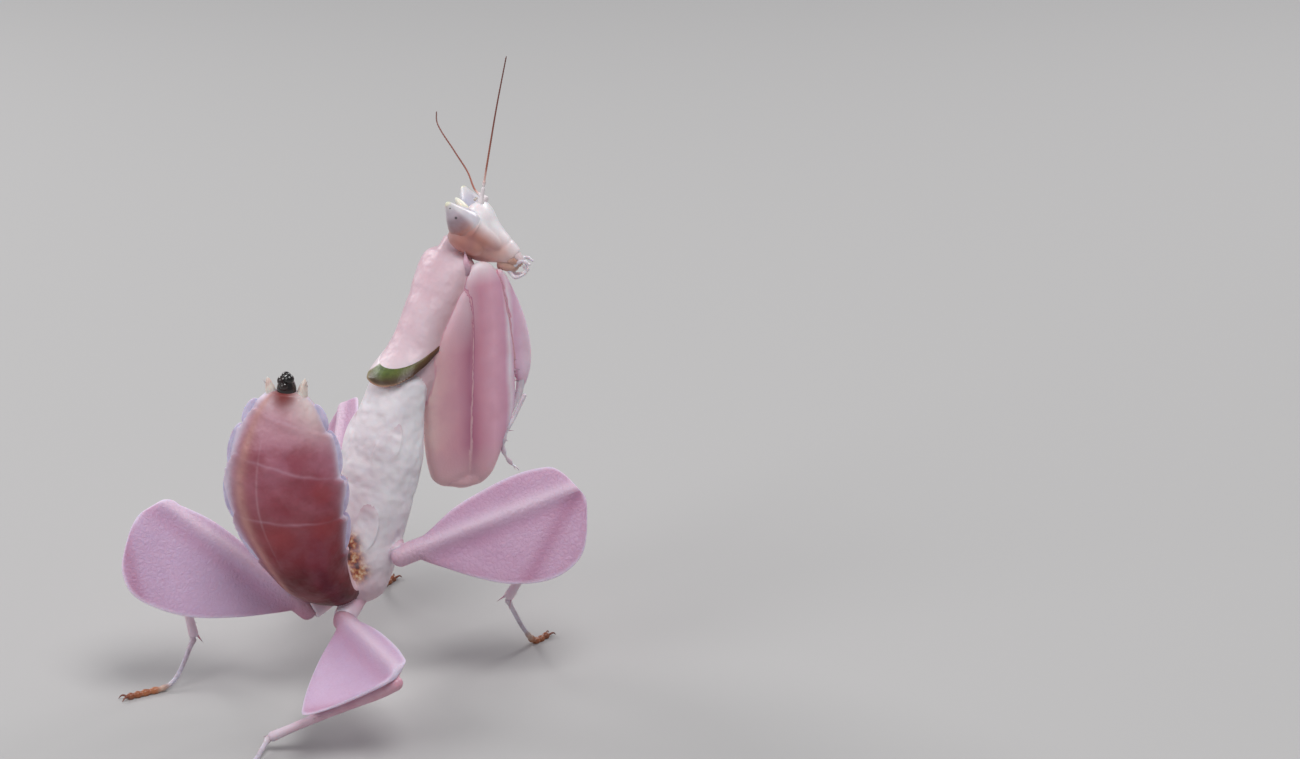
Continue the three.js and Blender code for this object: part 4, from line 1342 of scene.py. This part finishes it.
def collar():
    """The green band over the joint of the neck shield, raised a little above it."""
    rows = [(t, half + 0.04, rise + 0.05, drop + 0.04) for t, half, rise, drop in PRONOTUM_ROWS]

    def swell(t, turn):
        return 0.02 * math.sin(7 * turn + 30 * t) * math.sin(3 * turn)

    section = oval(rows, 0.92, swell)
    bm = loft(PRONOTUM_PATH, BACKWARDS, section, (0, 0.1), 96, 110, start=PRONOTUM_START)
    trim(bm, COLLAR_TOP_TILT, COLLAR_HIGH, keep_above=False)
    trim(bm, COLLAR_TILT, COLLAR_LOW, keep_above=True)
    return bm


def collar_finish():
    """Olive green with a dark brown lower edge, browner at the right and yellowish at the left."""
    f = Finish("collar_band", "4a6420")
    tilt = (COLLAR_TILT + COLLAR_TOP_TILT) / 2
    normal = Vector((0, math.sin(tilt), math.cos(tilt)))
    above = f.reach(normal, normal * COLLAR_LOW)
    f.blotch("34491a", 1.4, 0.8)
    f.blotch("6f8433", 3.0, 0.35)
    f.lay("76362f", f.turn.band(0.57, 0.2), 0.9)
    f.lay("43261a", above.band(0.38, 0.2), 0.9)
    f.lay("b98a74", above.band(0.24, 0.06), 0.8)
    f.lay("a9a468", f.turn.band(0.12, 0.05), 0.7)
    beyond = above - f.turn.ramp(COLLAR_LIMIT, ease_between=False) * COLLAR_REACH
    f.lay("e8d6dc", beyond.between(-0.04, 0.06))
    return f.done(0.42, f.grain(0.06, 0.8), glow=0.05, depth=0.3, coat=0.06)


# Each lump of the knob: its place as at_tip takes it, and its radius.
KNOB_LUMPS = (
    (0.22, 0.62, -0.12, 0.33), (-0.2, 0.74, -0.15, 0.34), (0.02, 0.82, 0.12, 0.32),
    (0.05, 0.35, -0.38, 0.3),
)


def knob():
    """The black end of the abdomen: a short stump with four glossy lumps."""
    points = (at_tip(0, -0.15), at_tip(0, 0.85))
    stump = rod(points, (0.62, 0.6, 0.5, 0.32), BACK_OF_TIP, (0.05, 0.3), 40, 32)
    return gathered([stump, *(bead(at_tip(*place), radius) for *place, radius in KNOB_LUMPS)])


def cercus(side):
    """A short pale tail of four rings."""

    def swell(t, turn):
        return 0.006 * wave(t, 5)

    points = (at_tip(side * 0.72, -1.2), at_tip(side * 0.98, -0.2), at_tip(side * 1.2, 0.8))
    return rod(points, (0.44, 0.4, 0.29, 0.08), BACK_OF_TIP, (0.1, 0.15), 28, 48, swell)


# ---------------- feet, claws, thorns and hairs

FOOT_PADS, PADS_START, PADS_SPAN = 4, 0.48, 0.52  # their number, and their place along a foot
FOOT_TONES = {0.0: "d9ccd6", 0.3: "cfcbdb", 0.46: "cfae9c", 0.56: "b5714a", 1.0: "8f4f30"}


def foot(leg):
    """A long first joint, four short padded ones, and two claws."""

    def swell(t, turn):
        lobe = 0.5 - 0.5 * math.cos(2 * math.pi * FOOT_PADS * (t - PADS_START) / PADS_SPAN)
        pads = 0.09 * math.sqrt(lobe) * ease(t, 0.47, 0.5)
        return pads + 0.05 * hump(t, 0.44, 0.03) + 0.07 * hump(t, 0.0, 0.04)

    radii = (0.17, 0.15, 0.15, 0.17, 0.15)
    pieces = [coloured(rod(leg.foot_line, radii, leg.face, (0.02, 0.04), 20, 120, swell), 0)]
    toe, ahead, aside = leg.foot_line.at(1), leg.ahead, UP.cross(leg.ahead)
    for side in (1, -1):
        root = toe - ahead * 0.1 + aside * (side * 0.08)
        bend = toe + ahead * 0.22 + aside * (side * 0.24) + UP * 0.1
        point = toe + ahead * 0.45 + aside * (side * 0.3) - UP * 0.1
        pieces.append(coloured(hook((root, bend, point), (0.08, 0.06, 0.015)), 1))
    bm = gathered(pieces)
    for vert in bm.verts:
        vert.co.z = max(vert.co.z, FLOOR)
    return bm


def foot_finish():
    """Bluish and glassy above, orange-brown along the pads."""
    f = Finish("foot_cuticle")
    f.base = f.along.ramp(FOOT_TONES)
    f.blotch("7a4630", 2.2, 0.3)
    return f.done(0.32, glow=0.3, depth=0.3, coat=0.35)


FORE_FOOT = ((4.6, 4.9, 0.5), (3.8, 3.6, 0.55), (3, 2.2, 0.5), (3, 1.1, 0.4), (3.6, 0.1, 0.4))
FORE_CLAW = ((4.6, 6.2), (4.45, 5.0), (3.98, 4.0), (3.4, 2.9))
FORE_BACK_EDGE = ((-2.0, 0.2), (-2.27, 1.2), (-2.6, 4.2), (-2.52, 8), (-1.9, 11))
KNEE_FLAP = ((0.85, 13.6, -0.2), (0.7, 15.2, -0.25))  # its foot and its tip
THIGH_THORNS, SHIN_THORNS, BACK_TEETH = 15, 18, 46  # in each row


def fore_foot(foreleg):
    """The thin foot of a foreleg, folded in beside the claw."""

    def swell(t, turn):
        return 0.04 * wave(t, 5, 0.6) * ease(t, 0.3, 0.5)

    radii = (0.14, 0.13, 0.13, 0.12)
    pieces = [rod(foreleg.line(FORE_FOOT), radii, UP, (0.02, 0.04), 14, 90, swell)]
    for out in (0.15, 0.65):
        points = foreleg.line(((3.55, 0.15, 0.4), (3.85, -0.1, out), (4.0, -0.4, out)))
        pieces.append(hook(points, (0.07, 0.05, 0.015)))
    return placed(gathered(pieces), foreleg.frame)


def fore_weapons(foreleg):
    """The shin's claw, the rows of thorns where the thigh and shin close on each other, the tiny
    teeth of the coxa's back edge, and the flap at the knee."""
    claw = hook(foreleg.line(FORE_CLAW), (0.3, 0.26, 0.17, 0.04), 16, 24)
    pieces = [coloured(claw, 0)]

    def thorn(root, tip, radius, sides=5):
        pieces.append(coloured(spike(foreleg.at(*root), foreleg.at(*tip), radius, sides), 1))

    def stations(points, count, start, span):
        """Even places along a line, as (forwards, height)."""
        line = Spline(*((*point, 0) for point in points))
        return [line.at(start + span * i / (count - 1)).xy for i in range(count)]

    chance = random.Random(foreleg.side)
    for i, (forwards, height) in enumerate(stations(FORE_THIGH_LINE, THIGH_THORNS, 0.2, 0.68)):
        length = (0.3, 0.5)[i % 2] * chance.uniform(0.85, 1.1)
        for out in (-0.3, 0.3):
            tip = (forwards + 1.5 + length, height - 0.12, out * 1.2)
            thorn((forwards + 1.3, height, out), tip, 0.07, 6)
    for forwards, height in stations(FORE_SHIN_LINE, SHIN_THORNS, 0.1, 0.82):
        for out in (-0.2, 0.2):
            tip = (forwards - 1.0, height - 0.28, out * 1.2)
            thorn((forwards - 0.5, height, out), tip, 0.06)
    for forwards, height in stations(FORE_BACK_EDGE, BACK_TEETH, 0, 1):
        thorn((forwards + 0.2, height), (forwards - 0.13, height - 0.06), 0.09)
    thorn(*KNEE_FLAP, 0.4, 12)
    return placed(gathered(pieces), foreleg.frame)


def shin_spurs():
    """Two spurs at the foot of each walking leg's shin."""
    pieces = []
    for leg in LEGS.values():
        down = (leg.ankle - leg.knee).normalized()
        aside = down.cross(leg.face).normalized()
        for side in (1, -1):
            root = leg.ankle - down * 0.15 + aside * (side * 0.2)
            pieces.append(spike(root, root + down * 0.75 + aside * (side * 0.3), 0.09, 6))
    return gathered(pieces)


HAIR_RADIUS = 0.022
SHIN_HAIRS, FOOT_HAIRS, TIP_HAIRS = 46, 30, 26


def hairs():
    """Fine short hairs on the shins, feet and the end of the abdomen."""
    chance = random.Random(7)
    pieces = []

    def hair(root, way, length):
        pieces.append(spike(root, root + way.normalized() * length, HAIR_RADIUS, 4))

    def outwards(way):
        """A direction square to a way, at any turn round it."""
        aside = way.cross(UP if abs(way.z) < 0.9 else BACKWARDS).normalized()
        return Matrix.Rotation(chance.uniform(0, 2 * math.pi), 3, way) @ aside

    for leg in LEGS.values():
        down = (leg.ankle - leg.shin_top).normalized()
        for _ in range(SHIN_HAIRS):
            t = chance.uniform(0.3, 0.97)
            out = outwards(down)
            root = leg.shin_top.lerp(leg.ankle, t) + out * ((0.42 - 0.15 * t) * 0.85)
            hair(root, out + down * 1.3, chance.uniform(0.2, 0.36))
        for _ in range(FOOT_HAIRS):
            t = chance.uniform(0.05, 0.9)
            heading = leg.foot_line.heading(t)
            out = outwards(heading)
            if out.z > -0.2:
                hair(leg.foot_line.at(t) + out * 0.14, out + heading, chance.uniform(0.14, 0.24))
    for side in (1, -1):
        for _ in range(TIP_HAIRS):
            up = chance.uniform(-0.9, 0.6)
            out = TIP_SIDE * (side * chance.uniform(0.2, 1)) - BACK_OF_TIP * chance.uniform(-1, 1)
            root = at_tip(side * (0.8 + 0.2 * (up + 1.2)), up) + out.normalized() * 0.24
            hair(root, out + UP * 0.9, chance.uniform(0.15, 0.3))
    return gathered(pieces)


def add_pieces():
    """The pieces of their own, each with its finishes and the node it stands for."""
    sides = ((1, "left"), (-1, "right"))
    glassy, skin_slot = PLAIN["glassy_cuticle"], "pink_cuticle"
    eye_skin, whip, foot_skin = eye_finish(), antenna_finish(), foot_finish()
    for side, name in sides:
        finish_piece(f"eye_{name}_cone", eye(side), [eye_skin], "eye", "eye_" + name)
    finish_piece("horn_point", horn(), [PLAIN["horn_tip"]], "horn", "horn")
    finish_piece("ocelli", ocelli(), [PLAIN["ocellus"]], "eye")
    for name, points in ANTENNAE.items():
        finish_piece(name + "_whip", antenna(points), [whip], "antenna", name)
    skins = [PLAIN["lip"], PLAIN["jaw"], glassy]
    finish_piece("jaws_and_palps", mouthparts(), skins, "mouthparts", "mouthparts")
    finish_piece("collar_band", collar(), [collar_finish()], "collar", "pronotum_collar")
    finish_piece("tip_knob", knob(), [PLAIN["knob_black"]], "abdomen_tip", "abdomen_tip")
    for side, name in sides:
        skins = [PLAIN["cercus_cuticle"]]
        finish_piece(f"cercus_{name}_tail", cercus(side), skins, "cercus", "cercus_" + name)
    for name, leg in LEGS.items():
        skins = [foot_skin, PLAIN["claw_horn"]]
        finish_piece(name + "_foot", foot(leg), skins, "foot", name + "_tarsus")
    finish_piece("shin_spurs", shin_spurs(), [PLAIN["thorn"]], "foot")
    for name, foreleg in FORELEGS.items():
        finish_piece(name + "_foot", fore_foot(foreleg), [glassy], skin_slot, name + "_tarsus")
        skins = [glassy, PLAIN["thorn"]]
        finish_piece(name + "_claw_and_thorns", fore_weapons(foreleg), skins, skin_slot)
    finish_piece("hairs", hairs(), [PLAIN["fine_hair"]], skin_slot)


add_pieces()

# ---------------- floor, lights and camera

AZIMUTH, ELEVATION = math.radians(218), math.radians(20)
DISTANCE = 231.0  # mm from the camera to the subject
VIEW_WIDTH = 83.3  # mm seen across the frame at the subject
SENSOR = 36
FLOOR_HALF = 3.0  # in metres
CLIP_NEAR, CLIP_FAR = 0.01, 10  # in metres
SKY_LIGHT = 0.34
WAIST_LEFT, WAIST_BELOW = 19.55, 14.455  # mm from the middle of the view to the waist
TOWARDS_CAMERA = Vector((math.sin(AZIMUTH), -math.cos(AZIMUTH), math.tan(ELEVATION))).normalized()
VIEW_RIGHT = UP.cross(TOWARDS_CAMERA).normalized()
VIEW_UP = TOWARDS_CAMERA.cross(VIEW_RIGHT)
LIT = WAIST + Vector((0, -4, 8))  # what the lights are turned to
# Each soft box: mm to the right of what it lights, above it and nearer, its size, and its watts.
LIGHTS = {
    "key": (60, 200, 160, 130, 0.38),
    "fill": (-190, 90, 150, 170, 0.2),
    "rim_left": (-160, 190, -110, 90, 0.26),
    "rim_right": (150, 210, -120, 90, 0.22),
}


def aimed(name, data, target, right, up, near):
    """A light or camera placed from its target in the camera's directions, and turned to it."""
    thing = linked(bpy.data.objects.new(name, data))
    thing.location = (target + VIEW_RIGHT * right + VIEW_UP * up + TOWARDS_CAMERA * near) * MM
    thing.rotation_mode = "QUATERNION"
    thing.rotation_quaternion = (target * MM - thing.location).to_track_quat("-Z", "Y")
    return thing


def camera():
    lens = bpy.data.cameras.new("camera")
    lens.sensor_width = SENSOR
    lens.lens = SENSOR * DISTANCE / VIEW_WIDTH
    lens.clip_start, lens.clip_end = CLIP_NEAR, CLIP_FAR
    target = WAIST + VIEW_RIGHT * WAIST_LEFT + VIEW_UP * WAIST_BELOW
    bpy.context.scene.camera = aimed("camera", lens, target, 0, 0, DISTANCE)


def studio():
    bm = bmesh.new()
    bmesh.ops.create_grid(bm, x_segments=1, y_segments=1, size=FLOOR_HALF)
    paper = bpy.data.materials.new("studio_floor")
    paper.use_nodes = True
    shader = paper.node_tree.nodes["Principled BSDF"]
    shader.inputs["Base Color"].default_value = colour("b6b4b3")
    shader.inputs["Roughness"].default_value = 0.9
    mesh_object("studio_floor", bm, [paper])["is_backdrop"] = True
    world = bpy.data.worlds.new("studio")
    bpy.context.scene.world = world
    world.use_nodes = True
    sky = world.node_tree.nodes["Background"]
    sky.inputs["Color"].default_value = colour("c9ced6")
    sky.inputs["Strength"].default_value = SKY_LIGHT
    for name, (right, up, near, size, power) in LIGHTS.items():
        light = bpy.data.lights.new(name, "AREA")
        light.size = size * MM
        light.energy = power
        aimed(name, light, LIT, right, up, near)
    bpy.context.scene.view_settings.view_transform = "Standard"


studio()
camera()

low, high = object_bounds()
boxes = {"cad": (cad_low, cad_high), "visual": (low, high)}
{name: [list(corner) for corner in box] for name, box in boxes.items()}
